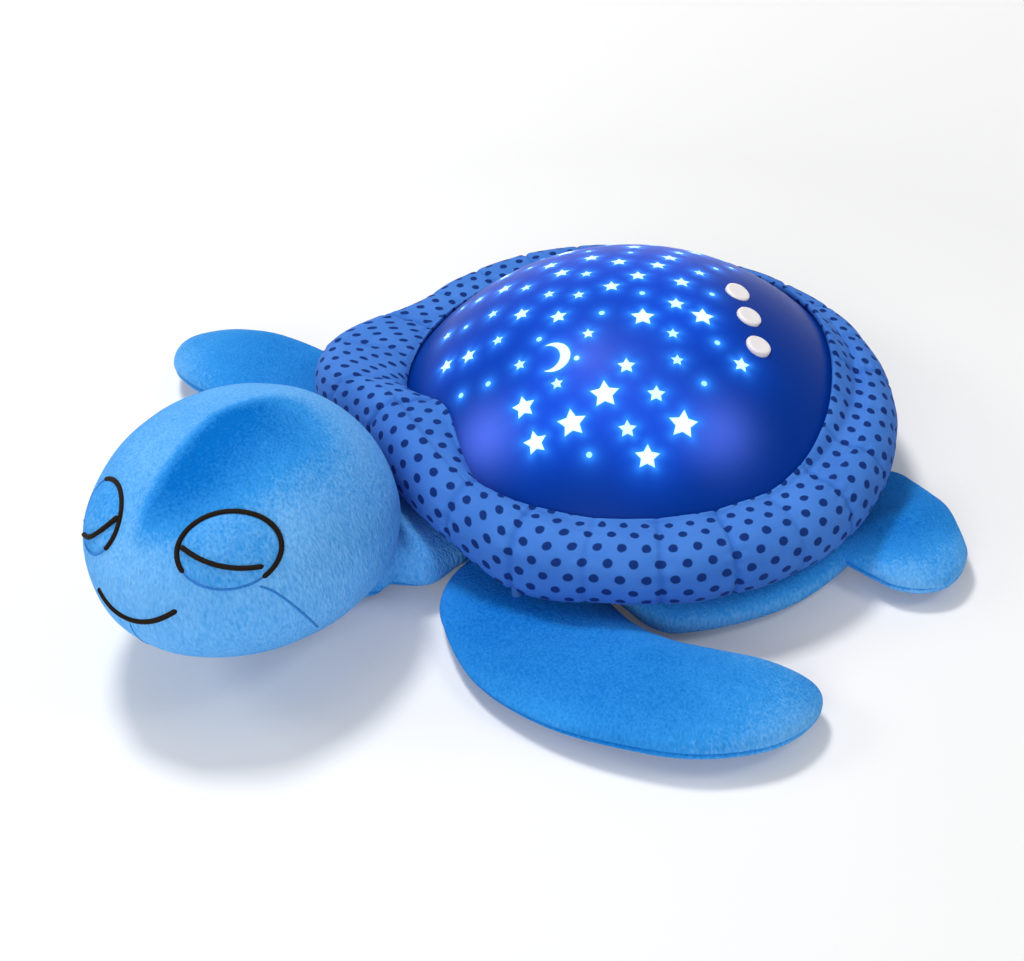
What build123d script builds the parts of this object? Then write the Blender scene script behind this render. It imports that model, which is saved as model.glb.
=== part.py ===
"""Plush sea turtle star projector night light.

Frame: millimetres, +Z up, the head points to -Y, the turtle's left is +X.
The origin is the middle of the light unit's underside, on the floor.
A hard light unit (tray, star dome, buttons, batteries) sits in a pocket of a stuffed toy.
"""
import os
from math import cos, degrees, hypot, pi, radians, sin, sqrt

from build123d import *

# Star dome
DOME_FOOT_RADIUS = 98.0
DOME_RISE = 49.0
DOME_WALL = 2.4
LINER_GAP = 0.3
LINER_WALL = 1.2

# Windows in the dome: star radius to the tips, dot radius, crescent
STAR_RADIUS = {"B": 6.2, "L": 5.2, "M": 3.8, "S": 2.7}
STAR_WAIST = 0.52
DOT_RADIUS = 1.25
STAR_TIP_HEADING = 150.0
MOON_RADIUS = 7.2
MOON_BITE_RADIUS = 6.2
MOON_BITE_SHIFT = 3.4
MOON_HEADING = 239.0
MOON_TILT = 23.58
MOON_BEARING = 290.0
# Rings of windows: degrees down from the crown, bearing of the first, and what follows round
WINDOW_RINGS = (
    (3.74, 126.0, "MMo"),
    (10.35, 342.0, "LMMMMSSo"),
    (16.11, 29.0, "LoSMoMMSMS-S"),
    (22.06, 327.0, "MSo--oSMoMSMoo"),
    (28.26, 319.0, "BMoM---oMSoLoMSSSS"),
    (34.85, 310.0, "BMB------SoMSoMSoMoL"),
    (40.16, 301.0, "LoL---------SoMo-oSMo-"),
)

# Tray
FLANGE_TOP = 42.0
FLANGE_THICK = 2.5
FLANGE_WIDTH = 24.0
TRAY_TAPER = 6.0
TRAY_WALL = 2.4
TRAY_FLOOR = 2.6
DOME_SCREW_COUNT = 4
DOME_SCREW_FIRST = 24.0
DOME_SCREW_OUT = 5.5
DOME_SCREW_RADIUS = 1.4
DOME_SCREW_HEAD_RADIUS = 2.9
DOME_SCREW_HEAD = 2.0
DOME_SCREW_BITE = 7.0
DOME_BOSS_RADIUS = 3.6

# Battery compartment, three AAA cells side by side along X
CELL_RADIUS = 5.25
CELL_LENGTH = 43.3
CELL_NIPPLE_RADIUS = 1.9
CELL_NIPPLE = 1.2
CELL_COUNT = 3
CELL_GAP = 0.6
CONTACT_ROOM = 3.0
CONTACT_THICK = 0.4
CONTACT_WIDTH = 8.0
CONTACT_HEIGHT = 9.0
CONTACT_BOW = 4.0
POCKET_INSET = 38.0
POCKET_SIDE = 0.5
BLOCK_WALL = 2.6
DOOR_THICK = 1.9
DOOR_LEDGE = 2.6
DOOR_TAB = 8.0
DOOR_SCREW_RADIUS = 1.2
DOOR_SCREW_HEAD_RADIUS = 2.4
DOOR_SCREW_HEAD = 1.1
DOOR_SCREW_BITE = 3.0
DOOR_SCREW_SLOT = 0.6
DOOR_SCREW_ROOM = 0.4

# Main board and its lamps
BOARD_RADIUS = 40.0
BOARD_THICK = 1.6
BOARD_RISE = 5.7
BOARD_POST_INSET = 6.0
BOARD_POST_RADIUS = 3.2
BOARD_POST_BEARINGS = (270.0, 30.0, 150.0)
BOARD_SCREW_RADIUS = 1.1
BOARD_SCREW_HEAD_RADIUS = 2.2
BOARD_SCREW_HEAD = 1.5
BOARD_SCREW_BITE = 5.0
LED_RADIUS = 2.5
LED_LENGTH = 8.6
LED_COLLAR_RADIUS = 2.9
LED_COLLAR = 1.0
LED_CIRCLE = 5.0
CHIP_SIZE = (9.9, 3.9, 1.6)
CHIP_PLACE = (-18.0, -12.0)
CAPACITOR_RADIUS = 4.0
CAPACITOR_LENGTH = 11.0
CAPACITOR_EDGE = 0.6
CAPACITOR_PLACE = (20.0, -14.0)

# Buttons: a straight row of three on the dome, all pressed along one axis
BUTTON_ROW_TILT = 24.01
BUTTON_ROW_BEARING = 49.31
BUTTON_ROW_HEADING = -15.0
BUTTON_PITCH = 16.6
BUTTON_RADIUS = 5.5
BUTTON_PROUD = 1.2
BUTTON_TRAVEL = 0.8
BUTTON_FLANGE = 1.3
BUTTON_FLANGE_THICK = 1.6
BUTTON_STEM_RADIUS = 2.0
SWITCH_SIZE = 6.0
SWITCH_HEIGHT = 3.6
PLUNGER_RADIUS = 1.7
PLUNGER_PROUD = 1.2
PLUNGER_SUNK = 1.0
BUTTON_BOARD_DEPTH = 14.0
BUTTON_BOARD_MARGIN = 6.0
BUTTON_BOARD_THICK = 1.6
BUTTON_POST_RADIUS = 3.0
BUTTON_POST_ASIDE = 10.0

# Wiring
WIRE_RADIUS = 0.6
WIRE_BEND = 1.6
WIRE_INSET = 3.0
WIRE_RED_OFFSET = 9.0
WIRE_RED_RUN = 16.0
WIRE_BLACK_OFFSET = 13.0
WIRE_BLACK_RUN = 24.0
RIBBON_WIDTH = 6.0
RIBBON_THICK = 0.8

# Stuffed rim roll round the dome
ROLL_SIDE_OUT = 11.0
ROLL_FRONT_OUT = 4.5
ROLL_REAR_OUT = -1.0
ROLL_FLOOR_GAP = 16.0
ROLL_HALF_WIDTH = 14.0
ROLL_HALF_HEIGHT = 15.0
ROLL_SEAMS = 25
ROLL_FIRST_SEAM = 333.5
ROLL_SEAM_DEPTH = 1.2
COLLAR_BEARING = 262.0
COLLAR_SPREAD = 62.0
COLLAR_LIFT = 10.0
COLLAR_FILL = 3.0
SHOULDER_BEARING = 233.0
SHOULDER_SPREAD = 27.0
SHOULDER_PUSH = 17.0

# Belly cushion and pocket lining
BELLY_SIDE_OUT = 22.5
BELLY_ENDS_OUT = 14.0
BELLY_BULGE_Z = 8.0
BELLY_TUCK = 12.0
BELLY_FILL_WIDTH = 6.0
LINING_THICK = 0.8
LINING_FLOOR_GAP = 0.4

# Flippers
SHOULDER_OUT = 15.8
SHOULDER_BEARING_LEFT = -54.0
SHOULDER_RADIUS = 32.0
SHOULDER_BOTTOM = 1.0
SHOULDER_ROLL_GAP = 1.2
SHOULDER_EDGE = 5.0
SHOULDER_ROOM = 5.0
FRONT_HEADING = -8.8
FRONT_SWING = 33.2
LEFT_BEND_RADIUS = 87.0
LEFT_LENGTH = 137.0
RIGHT_BEND_RADIUS = 215.0
RIGHT_LENGTH = 124.0
RIGHT_HUMP = 8.0
HIP_OUT = 6.4
HIP_BEARING = 36.4
REAR_HEADING = -3.0
REAR_LENGTH = 62.0
# Blade sections: share of the length, half width, half thickness, middle height, from the root out
FRONT_ROOT_WIDTHS = ((0.0, 29.0), (0.16, 33.0))
FRONT_SECTIONS = (
    (0.34, 29.0, 8.8, 9.6), (0.52, 25.5, 11.0, 11.6), (0.70, 24.0, 11.2, 12.0),
    (0.84, 19.4, 9.6, 11.6), (0.93, 11.6, 7.2, 11.0), (0.985, 4.0, 3.0, 10.6),
)
REAR_ROOT_WIDTHS = ((-0.1, 27.0), (0.2, 30.0))
REAR_SECTIONS = (
    (0.42, 28.5, 9.2, 10.0), (0.67, 22.5, 9.0, 10.2),
    (0.85, 15.0, 6.8, 10.0), (0.965, 7.0, 4.0, 9.6),
)
THREAD_RADIUS = 2.0
THREAD_GRIP = 10.0

# Neck and head
NECK_BACK_OUT = 8.0
NECK_LENGTH = 32.0
NECK_BACK_HALF_WIDTH = 33.0
NECK_FRONT_HALF_WIDTH = 41.0
NECK_BOTTOM = 1.0
NECK_BACK_TOP = 23.0
NECK_FRONT_TOP = 38.0
HEAD_GAP = 2.8
HEAD_REACH = 21.7
HEAD_TURN = 33.0
HEAD_HALF_WIDTH = 54.0
HEAD_HALF_LENGTH = 60.0
HEAD_HALF_HEIGHT = 47.6
HEAD_Z = 50.0
HEAD_SECTION_TILTS = (-82.0, -68.0, -50.0, -30.0, -10.0, 10.0, 30.0, 50.0, 68.0, 82.0)
EYE_BEARING = 36.5
EYE_PITCH = 29.0
EYE_HALF_WIDTH = 17.5
EYE_HALF_HEIGHT = 13.4
PATCH_THICK = 0.6
STITCH_WIDTH = 2.2
STITCH_THICK = 0.9
MOUTH_HALF_WIDTH = 17.0
MOUTH_END_RISE = 7.5
MOUTH_SAG = 1.0

# Clearances
FIT = 0.3
SNUG = 0.1
SOFT_GAP = 0.4
TIP_ROOM = 1.0
OVERRUN = 8.0

# Worked out from the driving dimensions
dome_radius = (DOME_FOOT_RADIUS**2 + DOME_RISE**2) / (2 * DOME_RISE)
dome_centre_z = FLANGE_TOP + DOME_RISE - dome_radius
flange_underside = FLANGE_TOP - FLANGE_THICK
tray_top_radius = DOME_FOOT_RADIUS - FLANGE_WIDTH
tray_floor_radius = tray_top_radius - TRAY_TAPER
pocket_y = tray_floor_radius - POCKET_INSET
inner_radius = dome_radius - DOME_WALL
liner_radius = inner_radius - LINER_GAP
screw_bearings = [DOME_SCREW_FIRST + 360.0 * i / DOME_SCREW_COUNT for i in range(DOME_SCREW_COUNT)]
pocket_length = CELL_LENGTH + CELL_NIPPLE + 2 * CONTACT_ROOM
pocket_width = CELL_COUNT * 2 * CELL_RADIUS + (CELL_COUNT - 1) * CELL_GAP + 2 * POCKET_SIDE
pocket_floor = DOOR_THICK + FIT
pocket_top = pocket_floor + 2 * CELL_RADIUS + 2 * POCKET_SIDE
block_top = pocket_top + BLOCK_WALL
door_left = -pocket_length / 2 - DOOR_LEDGE
door_right = pocket_length / 2 + DOOR_TAB
door_half_width = pocket_width / 2 + DOOR_LEDGE
door_screw_x = pocket_length / 2 + DOOR_TAB / 2
board_z = block_top + BOARD_RISE
board_top = board_z + BOARD_THICK
board_post_circle = BOARD_RADIUS - BOARD_POST_INSET
dome_screw_circle = tray_top_radius + DOME_SCREW_OUT
roll_side = DOME_FOOT_RADIUS + ROLL_SIDE_OUT
roll_front = DOME_FOOT_RADIUS + ROLL_FRONT_OUT
roll_rear = DOME_FOOT_RADIUS + ROLL_REAR_OUT
roll_height = ROLL_FLOOR_GAP + ROLL_HALF_HEIGHT
belly_side = DOME_FOOT_RADIUS + BELLY_SIDE_OUT
belly_ends = DOME_FOOT_RADIUS + BELLY_ENDS_OUT
belly_top = ROLL_FLOOR_GAP - 2 * SOFT_GAP
belly_fill_radius = tray_top_radius + BELLY_FILL_WIDTH
belly_fill_top = flange_underside - DOME_SCREW_HEAD - TIP_ROOM
shoulder_top = ROLL_FLOOR_GAP - SHOULDER_ROLL_GAP
root_middle = (SHOULDER_BOTTOM + shoulder_top) / 2
root_half = (shoulder_top - SHOULDER_BOTTOM) / 2 - SNUG
thread_top = ROLL_FLOOR_GAP + THREAD_GRIP
head_turned_half = hypot(HEAD_HALF_LENGTH * cos(radians(HEAD_TURN)), HEAD_HALF_WIDTH * sin(radians(HEAD_TURN)))
head_back_y = -roll_front - ROLL_HALF_WIDTH - HEAD_GAP
head_pivot_y = head_back_y - head_turned_half + HEAD_REACH * cos(radians(HEAD_TURN))
neck_back_y = -DOME_FOOT_RADIUS - NECK_BACK_OUT


def on_dome(x, y, radius):
    """Height of the sphere of the dome, at another radius, over a point in plan."""
    return dome_centre_z + sqrt(radius**2 - x**2 - y**2)


def polar(reach, bearing):
    """Plan point at a distance and a bearing from +X."""
    return reach * cos(radians(bearing)), reach * sin(radians(bearing))


def rod(x, y, z_from, z_to, radius):
    """Upright cylinder between two heights."""
    return Pos(x, y, (z_from + z_to) / 2) * Cylinder(radius, z_to - z_from)


def block(x_from, x_to, y_from, y_to, z_from, z_to):
    """Box between six planes."""
    centre = ((x_from + x_to) / 2, (y_from + y_to) / 2, (z_from + z_to) / 2)
    return Pos(*centre) * Box(x_to - x_from, y_to - y_from, z_to - z_from)


def turned(points):
    """Solid of revolution about Z of a closed outline of (radius, height) points."""
    outline = Polyline(*points, close=True)
    return revolve(Plane.XZ * make_face(outline), Axis.Z)


def ball(radius):
    """Ball about the centre of the dome's sphere."""
    return Pos(0, 0, dome_centre_z) * Sphere(radius)


def cap(radius, wall):
    """Spherical shell of the dome's centre, standing on the flange."""
    solid = ball(radius) - ball(radius - wall)
    room = 2 * radius
    return solid & Pos(0, 0, FLANGE_TOP + room / 2) * Box(room, room, room)


def oval(plane, right, left, up, down):
    """Face inside four arcs, each under a half circle, on a plane."""
    k = sqrt(0.5)
    corners = [(right, 0), (0, up), (-left, 0), (0, -down)]
    middles = [(right * k, up * k), (-left * k, up * k), (-left * k, -down * k), (right * k, -down * k)]
    arcs = [ThreePointArc(corners[i], middles[i], corners[(i + 1) % 4]) for i in range(4)]
    return plane * make_face(arcs)


def lobe(bearing, centre, spread):
    """Smooth bump that is 1 at a bearing and 0 beyond its spread."""
    away = abs((bearing - centre + 180.0) % 360.0 - 180.0)
    return cos(radians(90.0 * min(1.0, away / spread))) ** 2


# Star dome, liner and tray
def dome_place(tilt, bearing):
    """Plan point of the dome's surface, some degrees down from the crown on a bearing."""
    return polar(dome_radius * sin(radians(tilt)), bearing)


def window_plane(x, y, heading):
    """Plane that touches the dome over a plan point, with its x axis on a heading."""
    normal = Vector(x, y, on_dome(x, y, dome_radius) - dome_centre_z).normalized()
    along = Vector(cos(radians(heading)), sin(radians(heading)), 0)
    along = (along - normal * along.dot(normal)).normalized()
    return Plane(origin=(x, y, on_dome(x, y, dome_radius)), x_dir=along, z_dir=normal)


def star_outline(tip):
    """Five-pointed star with a tip on its x axis."""
    points = []
    for i in range(10):
        reach = tip if i % 2 == 0 else tip * STAR_WAIST
        points.append(polar(reach, 36.0 * i))
    return make_face(Polyline(*points, close=True))


def moon_outline():
    """Crescent whose horns point along its x axis."""
    bite = Pos(MOON_BITE_SHIFT, 0) * Circle(MOON_BITE_RADIUS)
    return Circle(MOON_RADIUS) - bite


def window_cutters():
    """Prisms that cut the star, dot and moon windows through the dome."""
    depth = 2 * DOME_WALL
    cutters = []
    for tilt, first, row in WINDOW_RINGS:
        for i, kind in enumerate(row):
            if kind == "-":
                continue
            x, y = dome_place(tilt, first + 360.0 * i / len(row))
            outline = Circle(DOT_RADIUS) if kind == "o" else star_outline(STAR_RADIUS[kind])
            cutters.append(extrude(window_plane(x, y, STAR_TIP_HEADING) * outline, depth, both=True))
    x, y = dome_place(MOON_TILT, MOON_BEARING)
    cutters.append(extrude(window_plane(x, y, MOON_HEADING) * moon_outline(), depth, both=True))
    return cutters


row_plane = window_plane(*dome_place(BUTTON_ROW_TILT, BUTTON_ROW_BEARING), BUTTON_ROW_HEADING)
row_place = row_plane.location
row_offsets = [BUTTON_PITCH * (i - 1) for i in range(3)]
post_places = [(-BUTTON_PITCH / 2, BUTTON_POST_ASIDE), (BUTTON_PITCH / 2, -BUTTON_POST_ASIDE)]


def row_ball(radius):
    """Ball about the dome's centre, in the button row's own frame."""
    return Pos(0, 0, -dome_radius) * Sphere(radius)


def row_drop(offset, radius):
    """Height of a sphere of the dome over a place along the row, in the row's frame."""
    return sqrt(radius**2 - offset**2) - dome_radius


def build_dome():
    """Blue translucent dome with its windows, button bores and screw bosses."""
    shell = cap(dome_radius, DOME_WALL)
    bosses = []
    for bearing in screw_bearings:
        x, y = polar(dome_screw_circle, bearing)
        bosses.append(rod(x, y, FLANGE_TOP, FLANGE_TOP + DOME_RISE, DOME_BOSS_RADIUS))
    for place in post_places:
        bosses.append(row_place * rod(*place, -BUTTON_BOARD_DEPTH, 0, BUTTON_POST_RADIUS))
    inside = ball(dome_radius - DOME_WALL / 2)
    shell = shell + [boss & inside for boss in bosses]
    cutters = window_cutters()
    for offset in row_offsets:
        cutters.append(row_place * rod(offset, 0, -OVERRUN, OVERRUN, BUTTON_RADIUS + FIT))
    for place in post_places:
        bottom = -BUTTON_BOARD_DEPTH
        hole = rod(*place, bottom, bottom + BOARD_SCREW_BITE + TIP_ROOM, BOARD_SCREW_RADIUS + SNUG)
        cutters.append(row_place * hole)
    for bearing in screw_bearings:
        x, y = polar(dome_screw_circle, bearing)
        cutters.append(rod(x, y, FLANGE_TOP, FLANGE_TOP + DOME_SCREW_BITE + TIP_ROOM, DOME_SCREW_RADIUS + SNUG))
    return shell - cutters


def build_liner():
    """Milky liner behind the windows, slotted round the buttons and the bosses."""
    liner = cap(liner_radius, LINER_WALL)
    slot_width = 2 * (BUTTON_RADIUS + BUTTON_FLANGE + 2 * FIT)
    slot = extrude(SlotCenterToCenter(2 * BUTTON_PITCH, slot_width), DOME_RISE, both=True)
    cutters = [row_place * slot]
    for place in post_places:
        cutters.append(row_place * rod(*place, -BUTTON_BOARD_DEPTH, OVERRUN, BUTTON_POST_RADIUS + FIT))
    for bearing in screw_bearings:
        x, y = polar(dome_screw_circle, bearing)
        cutters.append(rod(x, y, FLANGE_TOP, FLANGE_TOP + DOME_RISE, DOME_BOSS_RADIUS + FIT))
    return liner - cutters


def tray_radius(z):
    """Outer radius of the tray's tapered wall at a height."""
    return tray_floor_radius + (tray_top_radius - tray_floor_radius) * z / flange_underside


def build_tray():
    """Tray: floor, tapered wall, flange, battery block and board posts in one moulding."""
    tray = turned([
        (0, 0), (tray_floor_radius, 0), (tray_top_radius, flange_underside),
        (DOME_FOOT_RADIUS, flange_underside), (DOME_FOOT_RADIUS, FLANGE_TOP),
        (tray_radius(FLANGE_TOP) - TRAY_WALL, FLANGE_TOP),
        (tray_radius(TRAY_FLOOR) - TRAY_WALL, TRAY_FLOOR), (0, TRAY_FLOOR),
    ])
    half = door_half_width + FIT + BLOCK_WALL
    tray += block(door_left - FIT - BLOCK_WALL, door_right + FIT + BLOCK_WALL,
                  pocket_y - half, pocket_y + half, 0, block_top)
    for bearing in BOARD_POST_BEARINGS:
        x, y = polar(board_post_circle, bearing)
        tray += rod(x, y, TRAY_FLOOR, board_z, BOARD_POST_RADIUS)
    cutters = [
        block(-pocket_length / 2, pocket_length / 2, pocket_y - pocket_width / 2,
              pocket_y + pocket_width / 2, 0, pocket_top),
        block(door_left - FIT, door_right + FIT, pocket_y - door_half_width - FIT,
              pocket_y + door_half_width + FIT, 0, pocket_floor),
        rod(door_screw_x, pocket_y, 0, pocket_floor + DOOR_SCREW_BITE + TIP_ROOM,
            DOOR_SCREW_RADIUS + DOOR_SCREW_ROOM),
    ]
    for bearing in BOARD_POST_BEARINGS:
        x, y = polar(board_post_circle, bearing)
        cutters.append(rod(x, y, board_z - BOARD_SCREW_BITE - TIP_ROOM, board_z, BOARD_SCREW_RADIUS + SNUG))
    for bearing in screw_bearings:
        x, y = polar(dome_screw_circle, bearing)
        cutters.append(rod(x, y, 0, FLANGE_TOP, DOME_SCREW_RADIUS + FIT))
    return tray - cutters


def screw(x, y, seat_z, up, radius, bite, head_radius, head):
    """Pan-head screw: seat height under its head, and +1 or -1 for the way its shank points."""
    shank = rod(x, y, min(seat_z, seat_z + up * bite), max(seat_z, seat_z + up * bite), radius)
    top = rod(x, y, min(seat_z, seat_z - up * head), max(seat_z, seat_z - up * head), head_radius)
    return shank + top


def build_dome_screws():
    """Screws that hold the dome down, through the tray's flange."""
    bite = FLANGE_THICK + DOME_SCREW_BITE
    return [
        screw(*polar(dome_screw_circle, bearing), flange_underside, 1, DOME_SCREW_RADIUS, bite,
              DOME_SCREW_HEAD_RADIUS, DOME_SCREW_HEAD)
        for bearing in screw_bearings
    ]


# Batteries
def build_door():
    """Battery door with a rounded hinge edge and a countersunk screw tab."""
    axis_z = DOOR_THICK / 2
    edge = Pos(door_left + axis_z, pocket_y, axis_z) * Rot(X=90) * Cylinder(axis_z, 2 * door_half_width)
    plate = block(door_left + axis_z, door_right, pocket_y - door_half_width,
                  pocket_y + door_half_width, 0, DOOR_THICK)
    head_room = rod(door_screw_x, pocket_y, 0, DOOR_SCREW_HEAD + SNUG, DOOR_SCREW_HEAD_RADIUS + SNUG)
    hole = rod(door_screw_x, pocket_y, 0, DOOR_THICK, DOOR_SCREW_RADIUS + SNUG)
    return edge + plate - head_room - hole


def build_door_screw():
    """Captive screw of the battery door."""
    bite = DOOR_THICK - DOOR_SCREW_HEAD + DOOR_SCREW_BITE
    body = screw(door_screw_x, pocket_y, DOOR_SCREW_HEAD + SNUG, 1, DOOR_SCREW_RADIUS, bite,
                 DOOR_SCREW_HEAD_RADIUS, DOOR_SCREW_HEAD)
    slot = Pos(door_screw_x, pocket_y, 0) * Box(2 * DOOR_SCREW_HEAD_RADIUS, DOOR_SCREW_SLOT, DOOR_SCREW_HEAD)
    return body - slot


def cell_y(i):
    """Middle of a cell across the compartment."""
    return pocket_y + (i - (CELL_COUNT - 1) / 2) * (2 * CELL_RADIUS + CELL_GAP)


cell_z = pocket_floor + POCKET_SIDE + CELL_RADIUS


def build_cell(i):
    """One cell, its nipple towards +X or -X in turn."""
    sign = 1 if i % 2 == 0 else -1
    can = Rot(Y=90) * Cylinder(CELL_RADIUS, CELL_LENGTH)
    nipple = Pos(CELL_LENGTH / 2 + CELL_NIPPLE / 2) * Rot(Y=90) * Cylinder(CELL_NIPPLE_RADIUS, CELL_NIPPLE)
    cell = Pos(-CELL_NIPPLE / 2) * (can + nipple)
    return Pos(0, cell_y(i), cell_z) * (cell if sign > 0 else Rot(Z=180) * cell)


def build_contacts(side):
    """Sprung contact leaves on one end wall of the compartment: a plate and a bowed leaf for each cell."""
    wall = side * pocket_length / 2
    reach = CONTACT_ROOM - SNUG
    contacts = []
    for i in range(CELL_COUNT):
        near = CONTACT_BOW - CONTACT_THICK
        arc = ThreePointArc((0, -CONTACT_BOW), (reach, 0), (0, CONTACT_BOW))
        inner = ThreePointArc((0, -near), (reach - CONTACT_THICK, 0), (0, near))
        ends = [Line((0, -CONTACT_BOW), (0, -near)), Line((0, near), (0, CONTACT_BOW))]
        bow = extrude(Plane.XZ * make_face([arc, inner, *ends]), CONTACT_WIDTH / 4, both=True)
        plate = Pos(CONTACT_THICK / 2) * Box(CONTACT_THICK, CONTACT_WIDTH, CONTACT_HEIGHT)
        leaf = bow + plate
        place = Pos(wall, cell_y(i), cell_z)
        contacts.append(place * (leaf if side < 0 else Rot(Z=180) * leaf))
    return contacts


# Electronics
def build_main_board():
    """Round main board on its three posts."""
    board = rod(0, 0, board_z, board_top, BOARD_RADIUS)
    holes = [rod(*polar(board_post_circle, b), board_z, board_top, BOARD_SCREW_RADIUS + SNUG)
             for b in BOARD_POST_BEARINGS]
    return board - holes


def build_board_screws():
    """Screws of the main board."""
    bite = BOARD_THICK + BOARD_SCREW_BITE
    return [
        screw(*polar(board_post_circle, b), board_top, -1, BOARD_SCREW_RADIUS, bite,
              BOARD_SCREW_HEAD_RADIUS, BOARD_SCREW_HEAD)
        for b in BOARD_POST_BEARINGS
    ]


def build_led(i):
    """Round lamp of one colour on the board's middle."""
    x, y = polar(LED_CIRCLE, 90.0 + 120.0 * i)
    straight = LED_LENGTH - LED_RADIUS
    body = rod(x, y, board_top, board_top + straight, LED_RADIUS)
    body += Pos(x, y, board_top + straight) * Sphere(LED_RADIUS)
    return body + rod(x, y, board_top, board_top + LED_COLLAR, LED_COLLAR_RADIUS)


def build_chip():
    """Timer chip, standing on the board."""
    length, width, height = CHIP_SIZE
    return Pos(*CHIP_PLACE, board_top + height / 2) * Box(length, width, height)


def build_capacitor():
    """Upright electrolytic capacitor."""
    can = rod(*CAPACITOR_PLACE, board_top, board_top + CAPACITOR_LENGTH, CAPACITOR_RADIUS)
    return fillet(can.edges().filter_by(GeomType.CIRCLE), CAPACITOR_EDGE)


def build_button(i):
    """Button cap: dome-shaped top, inner flange and a stem down to its switch."""
    x = row_offsets[i]
    flange_top_radius = inner_radius - FIT
    flange_bottom = row_drop(x, flange_top_radius) - BUTTON_FLANGE_THICK
    plunger_top = -BUTTON_BOARD_DEPTH + SWITCH_HEIGHT + PLUNGER_PROUD
    top = rod(x, 0, flange_bottom, OVERRUN, BUTTON_RADIUS) & row_ball(dome_radius + BUTTON_PROUD)
    flange = rod(x, 0, flange_bottom, OVERRUN, BUTTON_RADIUS + BUTTON_FLANGE) & row_ball(flange_top_radius)
    stem = rod(x, 0, plunger_top, flange_bottom + BUTTON_FLANGE_THICK / 2, BUTTON_STEM_RADIUS)
    return row_place * (top + flange + stem)


def build_switch(i):
    """Push switch body with the bore its plunger works in."""
    floor = -BUTTON_BOARD_DEPTH
    body = Pos(row_offsets[i], 0, floor + SWITCH_HEIGHT / 2) * Box(SWITCH_SIZE, SWITCH_SIZE, SWITCH_HEIGHT)
    well = PLUNGER_SUNK + BUTTON_TRAVEL + FIT
    bore = rod(row_offsets[i], 0, floor + SWITCH_HEIGHT - well, floor + SWITCH_HEIGHT, PLUNGER_RADIUS + SNUG)
    return row_place * (body - bore)


def build_plunger(i):
    """Plunger of a push switch, under the button's stem."""
    top = -BUTTON_BOARD_DEPTH + SWITCH_HEIGHT
    return row_place * rod(row_offsets[i], 0, top - PLUNGER_SUNK, top + PLUNGER_PROUD, PLUNGER_RADIUS)


def build_button_board():
    """Narrow board that carries the three switches."""
    length = 2 * (BUTTON_PITCH + BUTTON_BOARD_MARGIN)
    width = 2 * (BUTTON_POST_ASIDE + BUTTON_POST_RADIUS)
    middle = -BUTTON_BOARD_DEPTH - BUTTON_BOARD_THICK / 2
    board = Pos(0, 0, middle) * Box(length, width, BUTTON_BOARD_THICK)
    for place in post_places:
        board -= Pos(*place, middle) * Cylinder(BOARD_SCREW_RADIUS + SNUG, BUTTON_BOARD_THICK)
    return row_place * board


def build_button_board_screws():
    """Screws that hold the button board to the dome's posts."""
    seat = -BUTTON_BOARD_DEPTH - BUTTON_BOARD_THICK
    bite = BUTTON_BOARD_THICK + BOARD_SCREW_BITE
    return [
        row_place * screw(*place, seat, 1, BOARD_SCREW_RADIUS, bite,
                          BOARD_SCREW_HEAD_RADIUS, BOARD_SCREW_HEAD)
        for place in post_places
    ]


def build_battery_wire(y, run):
    """Lead from the compartment's roof along the gap to the underside of the main board."""
    middle = (block_top + board_z) / 2
    start = (-pocket_length / 2 + WIRE_INSET, y)
    path = FilletPolyline(
        (*start, block_top), (*start, middle), (start[0] + run, y, middle), (start[0] + run, y, board_z),
        radius=WIRE_BEND,
    )
    return sweep(Plane(origin=(*start, block_top), z_dir=(0, 0, 1)) * Circle(WIRE_RADIUS), path)


def build_ribbon():
    """Flat cable that curves from the button board down to the main board."""
    along = Vector(*polar(1, BUTTON_ROW_BEARING), 0)
    start = row_plane.from_local_coords((0, 0, -BUTTON_BOARD_DEPTH - BUTTON_BOARD_THICK))
    lean = row_plane.z_dir
    toe = Vector(*polar(board_post_circle, BUTTON_ROW_BEARING), board_top)
    path = Spline([start, toe], tangents=[-lean, Vector(0, 0, -1)])
    across = along.cross(Vector(0, 0, 1))
    section = Plane(origin=start, x_dir=across, z_dir=-lean) * Rectangle(RIBBON_WIDTH, RIBBON_THICK)
    return sweep(section, path)


# Soft parts
def roll_section(bearing, pinch):
    """Section of the rim roll at a bearing, drawn in by the seam's depth."""
    collar = lobe(bearing, COLLAR_BEARING, COLLAR_SPREAD)
    shoulder = lobe(bearing, SHOULDER_BEARING, SHOULDER_SPREAD)
    c, s = cos(radians(bearing)), sin(radians(bearing))
    ends = roll_front if s < 0 else roll_rear
    outward = Vector(c / roll_side, s / ends, 0).normalized()
    middle = Vector(roll_side * c, ends * s, roll_height + COLLAR_LIFT * collar)
    middle += outward * SHOULDER_PUSH * shoulder
    plane = Plane(origin=middle, x_dir=outward, z_dir=outward.cross(Vector(0, 0, 1)))
    width = ROLL_HALF_WIDTH - pinch
    height = ROLL_HALF_HEIGHT - pinch
    inward = width + COLLAR_FILL * collar + SHOULDER_PUSH * shoulder
    return oval(plane, width, inward, height, height)


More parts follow.
